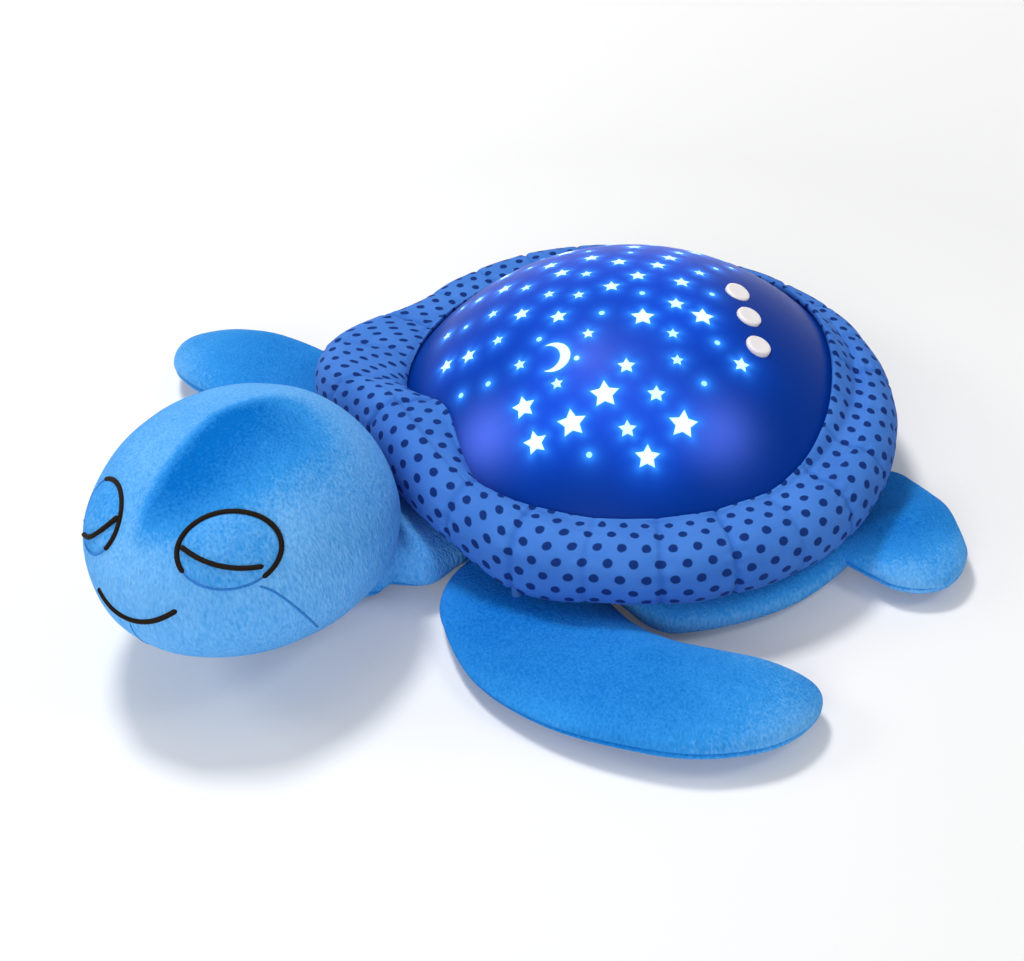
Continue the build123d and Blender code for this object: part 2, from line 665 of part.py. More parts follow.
def build_roll():
    """Stuffed rim roll, puffed between its seams and hollowed where it hugs the dome."""
    step = 360.0 / ROLL_SEAMS
    puffs = []
    for i in range(ROLL_SEAMS):
        start = ROLL_FIRST_SEAM + step * i
        sections = [roll_section(start, ROLL_SEAM_DEPTH), roll_section(start + step / 2, 0),
                    roll_section(start + step, ROLL_SEAM_DEPTH)]
        puffs.append(loft(sections))
    ring = puffs[0] + puffs[1:]
    unit = turned([(0, flange_underside - SOFT_GAP), (DOME_FOOT_RADIUS + SOFT_GAP, flange_underside - SOFT_GAP),
                   (DOME_FOOT_RADIUS + SOFT_GAP, FLANGE_TOP), (0, FLANGE_TOP)])
    hugged = cap(dome_radius + SOFT_GAP, dome_radius)
    fill = rod(0, 0, 0, belly_fill_top + SOFT_GAP, belly_fill_radius + SOFT_GAP)
    holes = [rod(*place, 0, thread_top + SOFT_GAP, THREAD_RADIUS + SNUG) for place in shoulder_places]
    return ring - [unit, hugged, fill, *holes]


shoulder_place = polar(DOME_FOOT_RADIUS + SHOULDER_OUT, SHOULDER_BEARING_LEFT)
shoulder_places = [shoulder_place, (-shoulder_place[0], shoulder_place[1])]
hip_place = polar(DOME_FOOT_RADIUS + HIP_OUT, HIP_BEARING)


def blade(place, heading, length, bend, hump, root_widths, sections, grow):
    """Stuffed blade of a flipper along an arc from its place (a line where bend is 0), humped midway."""
    faces = []
    roots = [(share, half_width, root_half, root_middle) for share, half_width in root_widths]
    for share, half_width, half_thick, middle_z in (*roots, *sections):
        run = share * length
        turn = heading + (degrees(run / bend) if bend else 0.0)
        if bend:
            x = place[0] + bend * (sin(radians(turn)) - sin(radians(heading)))
            y = place[1] - bend * (cos(radians(turn)) - cos(radians(heading)))
        else:
            x = place[0] + run * cos(radians(heading))
            y = place[1] + run * sin(radians(heading))
        along = Vector(cos(radians(turn)), sin(radians(turn)), 0)
        z = middle_z + hump * sin(pi * max(share, 0.0)) ** 2
        plane = Plane(origin=(x, y, z), x_dir=along.cross(Vector(0, 0, 1)), z_dir=-along)
        wide, thick = half_width + grow, half_thick + grow
        faces.append(oval(plane, wide, wide, thick, thick))
    return loft(faces)


def front_flipper(length, bend, hump, grow=0.0):
    """Front flipper of the left side, swept back, with a round root about its joint."""
    root = rod(*shoulder_place, SHOULDER_BOTTOM, shoulder_top, SHOULDER_RADIUS)
    root = fillet(root.edges().filter_by(GeomType.CIRCLE), SHOULDER_EDGE)
    return root + blade(shoulder_place, FRONT_HEADING, length, bend, hump,
                        FRONT_ROOT_WIDTHS, FRONT_SECTIONS, grow)


def front_flippers(grow=0.0):
    """Both front flippers swept back: the left one, and the right one that lies straighter and humped."""
    left = front_flipper(LEFT_LENGTH, LEFT_BEND_RADIUS, 0.0, grow)
    right = mirrored(front_flipper(RIGHT_LENGTH, RIGHT_BEND_RADIUS, RIGHT_HUMP, grow))
    return left, right


def rear_flipper(grow=0.0):
    """Rear left flipper, sewn in along its wide base."""
    return blade(hip_place, REAR_HEADING, REAR_LENGTH, 0.0, 0.0, REAR_ROOT_WIDTHS, REAR_SECTIONS, grow)


def threaded(shape, place):
    """Flipper with the hole of its joint thread."""
    return shape - rod(*place, 0, thread_top, THREAD_RADIUS + SNUG)


def mirrored(shape):
    """Same piece on the turtle's right."""
    return mirror(shape, Plane.YZ)


def swung(shape, place, angle):
    """Piece turned about the upright axis over a place."""
    return Pos(*place) * Rot(Z=angle) * Pos(-place[0], -place[1]) * shape


def belly_cushion(grow=0.0):
    """Oval cushion that bulges between floor and rim roll."""
    sections = []
    for z, tuck in ((0.0, BELLY_TUCK), (BELLY_BULGE_Z, 0.0), (belly_top, BELLY_TUCK)):
        side, ends = belly_side - tuck + grow, belly_ends - tuck + grow
        sections.append(oval(Plane.XY.offset(z), side, side, ends, ends))
    return loft(sections)


def build_belly():
    """Belly cushion round the pocket, hollowed for the flippers."""
    cushion = belly_cushion() + rod(0, 0, 0, belly_fill_top, belly_fill_radius)
    gap = LINING_THICK + 2 * FIT
    low, top = -OVERRUN, belly_fill_top + OVERRUN
    pocket = turned([(0, low), (tray_radius(low) + gap, low), (tray_radius(top) + gap, top), (0, top)])
    left, right = front_flippers(SOFT_GAP)
    rear = rear_flipper(SOFT_GAP)
    hollows = [left, right, swung(left, shoulder_places[0], -FRONT_SWING),
               swung(right, shoulder_places[1], FRONT_SWING), rear, mirrored(rear)]
    for place in shoulder_places:
        hollows.append(rod(*place, -OVERRUN, belly_top + OVERRUN, SHOULDER_RADIUS + SHOULDER_ROOM))
    return cushion - [pocket, *hollows]


def build_lining():
    """Cloth lining of the pocket that the light unit drops into."""
    low, high = LINING_FLOOR_GAP, belly_fill_top
    near, far = FIT, FIT + LINING_THICK
    return turned([(tray_radius(low) + near, low), (tray_radius(low) + far, low),
                   (tray_radius(high) + far, high), (tray_radius(high) + near, high)])


def head_place():
    """Place of the head: over its pivot, turned towards the turtle's left."""
    return Pos(0, head_pivot_y, 0) * Rot(Z=HEAD_TURN)


def head_form(grow=0.0):
    """Egg-shaped stuffed head, in its own frame over the pivot."""
    faces = []
    for tilt in HEAD_SECTION_TILTS:
        size = cos(radians(tilt))
        z = HEAD_Z + (HEAD_HALF_HEIGHT + grow) * sin(radians(tilt))
        wide = (HEAD_HALF_WIDTH + grow) * size
        long = (HEAD_HALF_LENGTH + grow) * size
        faces.append(oval(Plane(origin=(0, -HEAD_REACH, z)), wide, wide, long, long))
    return loft(faces)


def face_plane(bearing, pitch):
    """Plane in front of the head, facing it along a bearing to its left and a pitch."""
    b, p = radians(bearing), radians(pitch)
    out = Vector(sin(b) * cos(p), -cos(b) * cos(p), sin(p))
    middle = Vector(0, -HEAD_REACH, HEAD_Z)
    return Plane(origin=middle, x_dir=(cos(b), sin(b), 0), z_dir=out)


def on_face(shell, bearing, pitch, outline):
    """Part of a thin shell of the head that an outline covers, seen from the front."""
    prism = extrude(face_plane(bearing, pitch) * outline, HEAD_HALF_LENGTH + OVERRUN)
    return head_place() * (shell & prism)


def band(points):
    """Stitched line of even width along an arc through three points."""
    start, middle, end = points
    line = ThreePointArc(start, middle, end)
    return make_face(offset(line, STITCH_WIDTH / 2, side=Side.BOTH).edges())


def eye_outline(side):
    """Closed eye: most of an oval and the sagging lid line."""
    k = sqrt(0.5)
    w, h = EYE_HALF_WIDTH, EYE_HALF_HEIGHT
    arcs = [
        ((0.57 * w, -0.82 * h), (0.93 * w, -0.37 * h), (w, 0)),
        ((w, 0), (k * w, k * h), (0, h)),
        ((0, h), (-k * w, k * h), (-w, 0)),
        ((-w, 0), (-0.97 * w, -0.24 * h), (-0.9 * w, -0.44 * h)),
        ((-0.88 * w, 0.25 * h), (-0.25 * w, -0.28 * h), (0.55 * w, -0.48 * h)),
    ]
    outline = Sketch()
    for arc in arcs:
        outline += band(arc)
    return outline if side > 0 else mirror(outline, Plane.YZ)


def mouth_outline():
    """Smile along one arc."""
    w = MOUTH_HALF_WIDTH
    return band(((-w, MOUTH_END_RISE), (0, -MOUTH_SAG), (w, MOUTH_END_RISE)))


def build_neck(cutters):
    """Stuffed neck between belly and head."""
    faces = []
    back = (neck_back_y, NECK_BACK_TOP, NECK_BACK_HALF_WIDTH)
    front = (neck_back_y - NECK_LENGTH, NECK_FRONT_TOP, NECK_FRONT_HALF_WIDTH)
    for y, top, wide in (back, front):
        half = (top - NECK_BOTTOM) / 2
        plane = Plane(origin=(0, y, NECK_BOTTOM + half), x_dir=(1, 0, 0), z_dir=(0, -1, 0))
        faces.append(oval(plane, wide, wide, half, half))
    return loft(faces) - cutters


def build_all():
    """Every node by name."""
    nodes = {
        "dome_shell": build_dome(),
        "star_liner": build_liner(),
        "base_tray": build_tray(),
        "dome_screws": build_dome_screws(),
        "battery_door": build_door(),
        "battery_door_screw": build_door_screw(),
        "contacts_left": build_contacts(-1),
        "contacts_right": build_contacts(1),
        "main_board": build_main_board(),
        "main_board_screws": build_board_screws(),
        "timer_chip": build_chip(),
        "capacitor": build_capacitor(),
        "button_board": build_button_board(),
        "button_board_screws": build_button_board_screws(),
        "battery_wire_red": build_battery_wire(pocket_y - WIRE_RED_OFFSET, WIRE_RED_RUN),
        "battery_wire_black": build_battery_wire(pocket_y - WIRE_BLACK_OFFSET, WIRE_BLACK_RUN),
        "button_ribbon": build_ribbon(),
    }
    for i in range(CELL_COUNT):
        nodes[f"battery_{i + 1}"] = build_cell(i)
    for i, colour in enumerate(("blue", "green", "amber")):
        nodes[f"led_{colour}"] = build_led(i)
    for i in range(len(row_offsets)):
        nodes[f"button_{i + 1}"] = build_button(i)
        nodes[f"switch_{i + 1}"] = build_switch(i)
        nodes[f"switch_plunger_{i + 1}"] = build_plunger(i)

    left, right = front_flippers()
    rear = rear_flipper()
    right_place = shoulder_places[1]
    nodes["flipper_front_left"] = threaded(left, shoulder_place)
    nodes["flipper_front_right"] = threaded(swung(right, right_place, FRONT_SWING), right_place)
    nodes["flipper_rear_left"] = rear
    nodes["flipper_rear_right"] = mirrored(rear)
    nodes["shoulder_threads"] = [
        rod(*place, SHOULDER_BOTTOM + SOFT_GAP, thread_top, THREAD_RADIUS) for place in shoulder_places
    ]
    nodes["belly"] = build_belly()
    nodes["pocket_lining"] = build_lining()
    nodes["rim_roll"] = build_roll()

    nodes["head"] = head_place() * head_form()
    patch_shell = head_form(SNUG + PATCH_THICK) - head_form(SNUG)
    stitch_low = 2 * SNUG + PATCH_THICK
    stitch_shell = head_form(stitch_low + STITCH_THICK) - head_form(stitch_low)
    mouth_shell = head_form(SNUG + STITCH_THICK) - head_form(SNUG)
    patch = oval(Plane.XY, EYE_HALF_WIDTH, EYE_HALF_WIDTH, EYE_HALF_HEIGHT, EYE_HALF_HEIGHT)
    for name, side in (("left", 1), ("right", -1)):
        bearing = side * EYE_BEARING
        nodes[f"eye_patch_{name}"] = on_face(patch_shell, bearing, EYE_PITCH, patch)
        nodes[f"eye_stitching_{name}"] = on_face(stitch_shell, bearing, EYE_PITCH, eye_outline(side))
    nodes["mouth_stitching"] = on_face(mouth_shell, 0.0, 0.0, mouth_outline())
    nodes["neck"] = build_neck([head_place() * head_form(SOFT_GAP), belly_cushion(SOFT_GAP)])
    return nodes


if __name__ == "__main__":
    os.makedirs("parts", exist_ok=True)
    for name, shape in build_all().items():
        solids = shape if isinstance(shape, list) else [shape]
        export_step(Compound(children=[s for part in solids for s in part.solids()]), f"parts/{name}.step")
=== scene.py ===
"""Looks of a stuffed sea turtle night light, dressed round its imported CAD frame.

Frame: metres, +Z up, the head towards -Y, the turtle's left towards +X.
Sizes are written in millimetres, as on a pattern sheet, and go through MM once.
"""
import logging
import math
from dataclasses import dataclass, field
from enum import Enum
from typing import Any, Iterable

import bmesh
import bpy
import numpy as np
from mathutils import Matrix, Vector, noise
from mathutils.bvhtree import BVHTree
from mathutils.kdtree import KDTree


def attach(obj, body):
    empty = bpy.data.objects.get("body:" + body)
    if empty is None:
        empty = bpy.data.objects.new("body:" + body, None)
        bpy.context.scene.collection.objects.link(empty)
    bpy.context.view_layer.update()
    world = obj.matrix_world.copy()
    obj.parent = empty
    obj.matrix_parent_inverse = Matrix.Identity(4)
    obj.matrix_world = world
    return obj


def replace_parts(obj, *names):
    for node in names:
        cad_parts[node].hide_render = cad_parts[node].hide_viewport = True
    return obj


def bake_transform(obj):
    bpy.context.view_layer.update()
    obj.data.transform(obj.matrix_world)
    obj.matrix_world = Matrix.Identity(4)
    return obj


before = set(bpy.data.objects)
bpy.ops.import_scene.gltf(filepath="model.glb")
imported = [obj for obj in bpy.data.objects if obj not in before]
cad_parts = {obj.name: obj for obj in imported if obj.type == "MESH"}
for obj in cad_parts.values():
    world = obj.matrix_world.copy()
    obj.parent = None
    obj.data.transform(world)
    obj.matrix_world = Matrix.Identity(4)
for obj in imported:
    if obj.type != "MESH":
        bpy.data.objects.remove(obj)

MM = 0.001
LOG = logging.getLogger("night_light")
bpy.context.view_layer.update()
Array = np.ndarray
Axes = tuple[Array, Array, Array]


class Side(Enum):
    """Side of the turtle, as the sign of its X."""

    LEFT = 1
    RIGHT = -1


# Shared helpers
def linear(hex_code: str) -> tuple[float, float, float, float]:
    """Turns an sRGB hex colour into linear RGBA.

    Args:
        hex_code: Colour such as "#4A9BE4".

    Returns:
        Linear red, green, blue and an alpha of 1.
    """
    parts = [int(hex_code[i:i + 2], 16) / 255 for i in (1, 3, 5)]
    red, green, blue = [c / 12.92 if c <= 0.04045 else ((c + 0.055) / 1.055) ** 2.4 for c in parts]
    return red, green, blue, 1.0


def add_node(tree: bpy.types.NodeTree, kind: str, settings: dict[Any, Any] | None = None,
             links: dict[Any, Any] | None = None) -> bpy.types.Node:
    """Adds a node with its settings and links.

    Args:
        tree: Node tree that gets the node.
        kind: Node type, such as "ShaderNodeBump".
        settings: Property names, or input names or numbers, with their values.
        links: Input names or numbers with the output that feeds each.

    Returns:
        The new node.
    """
    node = tree.nodes.new(kind)
    for key, value in (settings or {}).items():
        if isinstance(key, str) and hasattr(node, key):
            setattr(node, key, value)
        else:
            node.inputs[key].default_value = value
    for key, source in (links or {}).items():
        tree.links.new(source, node.inputs[key])
    return node


def new_material(name: str, sockets: dict[str, Any]
                 ) -> tuple[bpy.types.Material, bpy.types.NodeTree, bpy.types.Node]:
    """Makes a material with one Principled shader.

    Args:
        name: Name of the material.
        sockets: Values set on the shader's own sockets.

    Returns:
        The material, its tree and its shader.
    """
    material = bpy.data.materials.new(name)
    material.use_nodes = True
    tree = material.node_tree
    shader = tree.nodes["Principled BSDF"]
    for key, value in sockets.items():
        shader.inputs[key].default_value = value
    return material, tree, shader


def smooth_step(x: Array, low: float, high: float) -> Array:
    """Smooth ramp from 0 at low to 1 at high."""
    t = np.clip((x - low) / (high - low), 0.0, 1.0)
    return t * t * (3 - 2 * t)


def hermite(x: Array, stations: Iterable[float], values: Iterable[float]) -> Array:
    """Smooth curve through stations, with the slopes of its neighbours.

    Args:
        x: Places to read.
        stations: Rising places that have a value.
        values: Value at each station.

    Returns:
        Value at each place.
    """
    xs, ys = np.array(list(stations), float), np.array(list(values), float)
    slopes = np.gradient(ys, xs)
    i = np.clip(np.searchsorted(xs, x) - 1, 0, len(xs) - 2)
    h = xs[i + 1] - xs[i]
    t = np.clip((x - xs[i]) / h, 0, 1)
    a, b = 2 * t**3 - 3 * t**2 + 1, t**3 - 2 * t**2 + t
    return a * ys[i] + b * h * slopes[i] + (1 - a) * ys[i + 1] + (t**3 - t**2) * h * slopes[i + 1]


def lumps(points: Array, size: float, seed: float) -> Array:
    """Soft lumps of a stuffed cover.

    Args:
        points: Places to read, in millimetres.
        size: Size of a lump, in millimetres.
        seed: Shift that gives each piece lumps of its own.

    Returns:
        Height from -1 to 1 at each place.
    """
    flat = points.reshape(-1, 3)
    out = [noise.noise(Vector(p / size) + Vector((seed, seed, seed))) for p in flat]
    return np.array(out).reshape(points.shape[:-1])


def finish_mesh(name: str, vertices: Array, faces: list, material: bpy.types.Material,
                uv: Array | None = None, sharp: float | None = None) -> bpy.types.Object:
    """Makes a smooth object from points in millimetres.

    Args:
        name: Name of the piece.
        vertices: Points, in millimetres.
        faces: Faces by point number.
        material: Finish of the piece.
        uv: One pair for each face corner, in millimetres of cloth.
        sharp: Edges over this angle, in degrees, stay sharp.

    Returns:
        The linked object.
    """
    mesh = bpy.data.meshes.new(name)
    mesh.from_pydata((np.asarray(vertices) * MM).tolist(), [], faces)
    if uv is not None:
        mesh.uv_layers.new(name="cloth_mm").data.foreach_set("uv", np.asarray(uv, np.float32).ravel())
    work = bmesh.new()
    work.from_mesh(mesh)
    bmesh.ops.recalc_face_normals(work, faces=work.faces)
    work.to_mesh(mesh)
    work.free()
    mesh.shade_smooth()
    if sharp is not None:
        mesh.set_sharp_from_angle(angle=math.radians(sharp))
    mesh.materials.append(material)
    piece = bpy.data.objects.new(name, mesh)
    bpy.context.scene.collection.objects.link(piece)
    return piece


def grid_faces(rows: int, columns: int, wrap_rows: bool, wrap_columns: bool, first: int = 0) -> Array:
    """Quads of a grid of points.

    Args:
        rows: Number of rows.
        columns: Number of points in a row.
        wrap_rows: Whether the last row joins the first.
        wrap_columns: Whether each row closes on itself.
        first: Number of the first point.

    Returns:
        Four point numbers for each quad.
    """
    i, j = np.meshgrid(np.arange(rows if wrap_rows else rows - 1),
                       np.arange(columns if wrap_columns else columns - 1), indexing="ij")
    row, next_row = i * columns + first, (i + 1) % rows * columns + first
    next_j = (j + 1) % columns
    return np.stack([row + j, next_row + j, next_row + next_j, row + next_j], -1).reshape(-1, 4)


def closed_loft(points: Array, first: int = 0) -> tuple[Array, list]:
    """Closes a grid of rings with a point at each end.

    Args:
        points: Rings of points, rows by columns by 3.
        first: Number of the first point.

    Returns:
        All points, and faces by point number.
    """
    rows, columns, _ = points.shape
    ends = np.array([points[0].mean(0), points[-1].mean(0)])
    faces = grid_faces(rows, columns, False, True, first).tolist()
    start, end = first + rows * columns, first + rows * columns + 1
    last = first + (rows - 1) * columns
    for j in range(columns):
        k = (j + 1) % columns
        faces.append([start, first + k, first + j])
        faces.append([end, last + j, last + k])
    return np.vstack([points.reshape(-1, 3), ends]), faces


def paint(piece: bpy.types.Object, name: str, values: Array) -> None:
    """Writes one number for each point of a piece, for its material to read."""
    layer = piece.data.attributes.new(name, "FLOAT", "POINT")
    layer.data.foreach_set("value", np.asarray(values, np.float32))


def raised_line(name: str, line: Array, normals: Array, width: float, height: float,
                material: bpy.types.Material) -> bpy.types.Object:
    """Rounded line of stitching that lies on a surface.

    Args:
        name: Name of the piece.
        line: Points of its middle, in millimetres.
        normals: Surface normal at each point.
        width: Width across, in millimetres.
        height: Height over the surface, in millimetres.
        material: Thread finish.

    Returns:
        The stitching.
    """
    sides, blunt_end = 12, 0.06
    around = np.linspace(0, 2 * np.pi, sides, endpoint=False)
    tangent = np.gradient(line, axis=0)
    tangent /= np.linalg.norm(tangent, axis=1)[:, None]
    side = np.cross(tangent, normals)
    side /= np.linalg.norm(side, axis=1)[:, None]
    run = np.concatenate([[0], np.cumsum(np.linalg.norm(np.diff(line, axis=0), axis=1))])
    to_end = np.minimum(run, run[-1] - run)
    taper = np.sqrt(1 - (1 - np.clip(to_end / (width / 2), blunt_end, 1)) ** 2)[:, None, None]
    rings = (line[:, None] + side[:, None] * (np.cos(around) * width / 2)[None, :, None] * taper
             + normals[:, None] * (np.sin(around) * height)[None, :, None] * taper)
    vertices, faces = closed_loft(rings)
    return finish_mesh(name, vertices, faces, material)


# Finishes
@dataclass(frozen=True)
class Plush:
    """Short-pile polyester plush, knitted and brushed.

    Matt cloth with a pale bloom where it turns away, random patches of tone, and painted shade where the pile
    lies over.
    The pile is drawn coarser than real fibres, which are too fine to show.
    """

    name: str
    dark: str
    middle: str
    light: str
    bloom: str = "#6DB4FA"
    pile_mm: float = 1.0
    clump_mm: float = 3.6
    patch_mm: float = 42.0
    pile_depth_mm: float = 0.9
    clump_depth_mm: float = 1.0
    stroke: float = 0.38
    patch_share: float = 0.4
    clump_share: float = 0.2
    pile_share: float = 0.6

    def material(self) -> bpy.types.Material:
        """Makes the cloth: colour from the painted shade and random noise, and a bump of pile and clumps.

        Returns:
            The material.
        """
        material, tree, shader = new_material(self.name, {
            "Roughness": 0.95, "Specular IOR Level": 0.06, "Sheen Weight": 0.1, "Sheen Roughness": 0.4,
            "Sheen Tint": linear(self.bloom),
        })
        place = add_node(tree, "ShaderNodeTexCoord").outputs["Object"]
        strokes = add_node(tree, "ShaderNodeMapping", {"Scale": (1.0, 1.0, self.stroke)}, {"Vector": place})
        patch = add_node(tree, "ShaderNodeTexNoise", {"Scale": 1 / (self.patch_mm * MM), "Detail": 3.0},
                         {"Vector": place})
        clump = add_node(tree, "ShaderNodeTexNoise", {"Scale": 1 / (self.clump_mm * MM), "Detail": 4.0},
                         {"Vector": strokes.outputs[0]})
        pile = add_node(tree, "ShaderNodeTexNoise", {"Scale": 1 / (self.pile_mm * MM), "Detail": 2.0},
                        {"Vector": strokes.outputs[0]})
        # Painted shade of each piece, read from its points: darker where the pile lies over and where less
        # light falls.
        painted_shade = add_node(tree, "ShaderNodeAttribute", {"attribute_name": "painted_shade"})
        first = add_node(tree, "ShaderNodeMath", {"operation": "MULTIPLY_ADD", 1: self.patch_share},
                         {0: patch.outputs["Fac"], 2: painted_shade.outputs["Fac"]})
        second = add_node(tree, "ShaderNodeMath", {"operation": "MULTIPLY_ADD", 1: self.clump_share},
                          {0: clump.outputs["Fac"], 2: first.outputs[0]})
        lean = add_node(tree, "ShaderNodeMath", {"operation": "MULTIPLY_ADD", 1: self.pile_share},
                        {0: pile.outputs["Fac"], 2: second.outputs[0]})
        # Each noise is about 0.5 on average, so half of the shares comes off again.
        mean = (self.patch_share + self.clump_share + self.pile_share) / 2
        even = add_node(tree, "ShaderNodeMath", {"operation": "SUBTRACT", 1: mean}, {0: lean.outputs[0]})
        ramp = add_node(tree, "ShaderNodeValToRGB", None, {"Fac": even.outputs[0]})
        ramp.color_ramp.elements[0].color = linear(self.dark)
        ramp.color_ramp.elements[1].color = linear(self.light)
        ramp.color_ramp.elements.new(0.5).color = linear(self.middle)
        tree.links.new(ramp.outputs["Color"], shader.inputs["Base Color"])
        soft = add_node(tree, "ShaderNodeBump", {"Strength": 0.5, "Distance": self.clump_depth_mm * MM},
                        {"Height": clump.outputs["Fac"]})
        fine = add_node(tree, "ShaderNodeBump", {"Strength": 0.7, "Distance": self.pile_depth_mm * MM},
                        {"Height": pile.outputs["Fac"], "Normal": soft.outputs[0]})
        tree.links.new(fine.outputs[0], shader.inputs["Normal"])
        return material


@dataclass(frozen=True)
class DottedKnit:
    """Smooth knitted polyester with a printed polka dot.

    Fine even cloth with a slight bloom; the print is flat and takes the same light.
    The knit is drawn coarser than real stitches, which are too fine to show.
    """

    name: str
    ground: str
    shade: str
    dot: str
    pitch_mm: float = 8.8
    row_mm: float = 6.2
    dot_mm: float = 3.5
    bleed_mm: float = 0.28
    uneven_mm: float = 0.7
    wobble_mm: float = 3.0
    stitch_mm: float = 0.9
    stitch_depth_mm: float = 0.25
    fold_mm: float = 6.0
    fold_depth_mm: float = 0.7
    patch_mm: float = 22.0
    bloom: str = "#7FA8FA"

    def material(self) -> bpy.types.Material:
        """Makes the cloth: staggered dots in millimetres of cloth on a ground with painted shade, and a knit
        bump.

        Returns:
            The material.
        """
        material, tree, shader = new_material(self.name, {
            "Roughness": 0.85, "Specular IOR Level": 0.12, "Sheen Weight": 0.08, "Sheen Roughness": 0.4,
            "Sheen Tint": linear(self.bloom),
        })
        place = add_node(tree, "ShaderNodeTexCoord").outputs["Object"]
        wobble = add_node(tree, "ShaderNodeTexNoise", {"Scale": 1 / (self.wobble_mm * MM), "Detail": 2.0},
                          {"Vector": place})
        cloth = add_node(tree, "ShaderNodeUVMap", {"uv_map": "cloth_mm"})
        cell = (self.pitch_mm, 2 * self.row_mm, 1.0)
        reaches = []
        # Two sets of rows, half a pitch and half a cell apart, stagger the dots.
        for offset in ((0.0, 0.25, 0.5), (0.5, 0.75, 0.5)):
            cells = add_node(tree, "ShaderNodeVectorMath", {
                "operation": "MULTIPLY_ADD", 1: tuple(1 / c for c in cell), 2: offset}, {0: cloth.outputs[0]})
            within = add_node(tree, "ShaderNodeVectorMath", {"operation": "FRACTION"}, {0: cells.outputs[0]})
            middle = add_node(tree, "ShaderNodeVectorMath", {
                "operation": "MULTIPLY_ADD", 1: cell, 2: tuple(-c / 2 for c in cell)}, {0: within.outputs[0]})
            reaches.append(add_node(tree, "ShaderNodeVectorMath", {"operation": "LENGTH"},
                                    {0: middle.outputs[0]}))
        reach = add_node(tree, "ShaderNodeMath", {"operation": "MINIMUM"},
                         {0: reaches[0].outputs["Value"], 1: reaches[1].outputs["Value"]})
        uneven = add_node(tree, "ShaderNodeMath", {
            "operation": "MULTIPLY_ADD", 1: self.uneven_mm, 2: -self.uneven_mm / 2},
            {0: wobble.outputs["Fac"]})
        rough = add_node(tree, "ShaderNodeMath", {"operation": "ADD"},
                         {0: reach.outputs[0], 1: uneven.outputs[0]})
        printed = add_node(tree, "ShaderNodeMapRange", {
            "interpolation_type": "SMOOTHSTEP", 1: self.dot_mm / 2 + self.bleed_mm,
            2: self.dot_mm / 2 - self.bleed_mm}, {0: rough.outputs[0]})
        patch = add_node(tree, "ShaderNodeTexNoise", {"Scale": 1 / (self.patch_mm * MM), "Detail": 3.0},
                         {"Vector": place})
        # Painted shade of the roll: darker low down and in the seams, lighter on top, where the light falls.
        painted_shade = add_node(tree, "ShaderNodeAttribute", {"attribute_name": "painted_shade"})
        lean = add_node(tree, "ShaderNodeMath", {"operation": "SUBTRACT", 1: 0.5}, {0: patch.outputs["Fac"]})
        tone = add_node(tree, "ShaderNodeMath", {"operation": "ADD"},
                        {0: lean.outputs[0], 1: painted_shade.outputs["Fac"]})
        ground = add_node(tree, "ShaderNodeMix", {
            "data_type": "RGBA", 6: linear(self.shade), 7: linear(self.ground)}, {0: tone.outputs[0]})
        colour = add_node(tree, "ShaderNodeMix", {"data_type": "RGBA", 7: linear(self.dot)},
                          {0: printed.outputs[0], 6: ground.outputs[2]})
        tree.links.new(colour.outputs[2], shader.inputs["Base Color"])
        folds = add_node(tree, "ShaderNodeTexNoise", {"Scale": 1 / (self.fold_mm * MM), "Detail": 3.0},
                         {"Vector": place})
        knit = add_node(tree, "ShaderNodeTexNoise", {"Scale": 1 / (self.stitch_mm * MM), "Detail": 1.0},
                        {"Vector": place})
        broad = add_node(tree, "ShaderNodeBump", {"Strength": 0.3, "Distance": self.fold_depth_mm * MM},
                         {"Height": folds.outputs["Fac"]})
        fine = add_node(tree, "ShaderNodeBump", {"Strength": 0.3, "Distance": self.stitch_depth_mm * MM},
                        {"Height": knit.outputs["Fac"], "Normal": broad.outputs[0]})
        tree.links.new(fine.outputs[0], shader.inputs["Normal"])
        return material


@dataclass(frozen=True)
class LitDome:
    """Translucent blue polycarbonate, moulded with a fine satin skin and lit from inside.

    Deep blue with soft wide highlights, some painted, and a painted glow round each window where light leaks.
    """

    name: str = "polycarbonate_blue_satin_moulded"
    body: str = "#002B7A"
    unlit: str = "#001038"
    washed: str = "#033CD6"
    highlight_glow: str = "#5A74EE"
    haloed: str = "#3088FF"
    skin_mm: float = 1.4
    skin_depth_mm: float = 0.1

    def material(self) -> bpy.types.Material:
        """Makes the plastic: its glow follows the painted wash, painted highlights and halo.

        Returns:
            The material.
        """
        material, tree, shader = new_material(self.name, {
            "Base Color": linear(self.body), "Roughness": 0.34, "Specular IOR Level": 0.04,
            "Emission Strength": 1.0})
        wash = add_node(tree, "ShaderNodeAttribute", {"attribute_name": "wash"})
        halo = add_node(tree, "ShaderNodeAttribute", {"attribute_name": "halo"})
        broad = add_node(tree, "ShaderNodeMix", {
            "data_type": "RGBA", 6: linear(self.unlit), 7: linear(self.washed)}, {0: wash.outputs["Fac"]})
        # Painted highlights: soft lavender spots mixed into the glow.
        spot = add_node(tree, "ShaderNodeAttribute", {"attribute_name": "spot"})
        with_highlights = add_node(tree, "ShaderNodeMix", {"data_type": "RGBA", 7: linear(self.highlight_glow)},
                        {0: spot.outputs["Fac"], 6: broad.outputs[2]})
        glow = add_node(tree, "ShaderNodeMix", {"data_type": "RGBA", 7: linear(self.haloed)},
                        {0: halo.outputs["Fac"], 6: with_highlights.outputs[2]})
        tree.links.new(glow.outputs[2], shader.inputs["Emission Color"])
        skin = add_node(tree, "ShaderNodeTexNoise", {"Scale": 1 / (self.skin_mm * MM), "Detail": 2.0},
                        {"Vector": add_node(tree, "ShaderNodeTexCoord").outputs["Object"]})
        bump = add_node(tree, "ShaderNodeBump", {"Strength": 0.04, "Distance": self.skin_depth_mm * MM},
                        {"Height": skin.outputs["Fac"]})
        tree.links.new(bump.outputs[0], shader.inputs["Normal"])
        return material


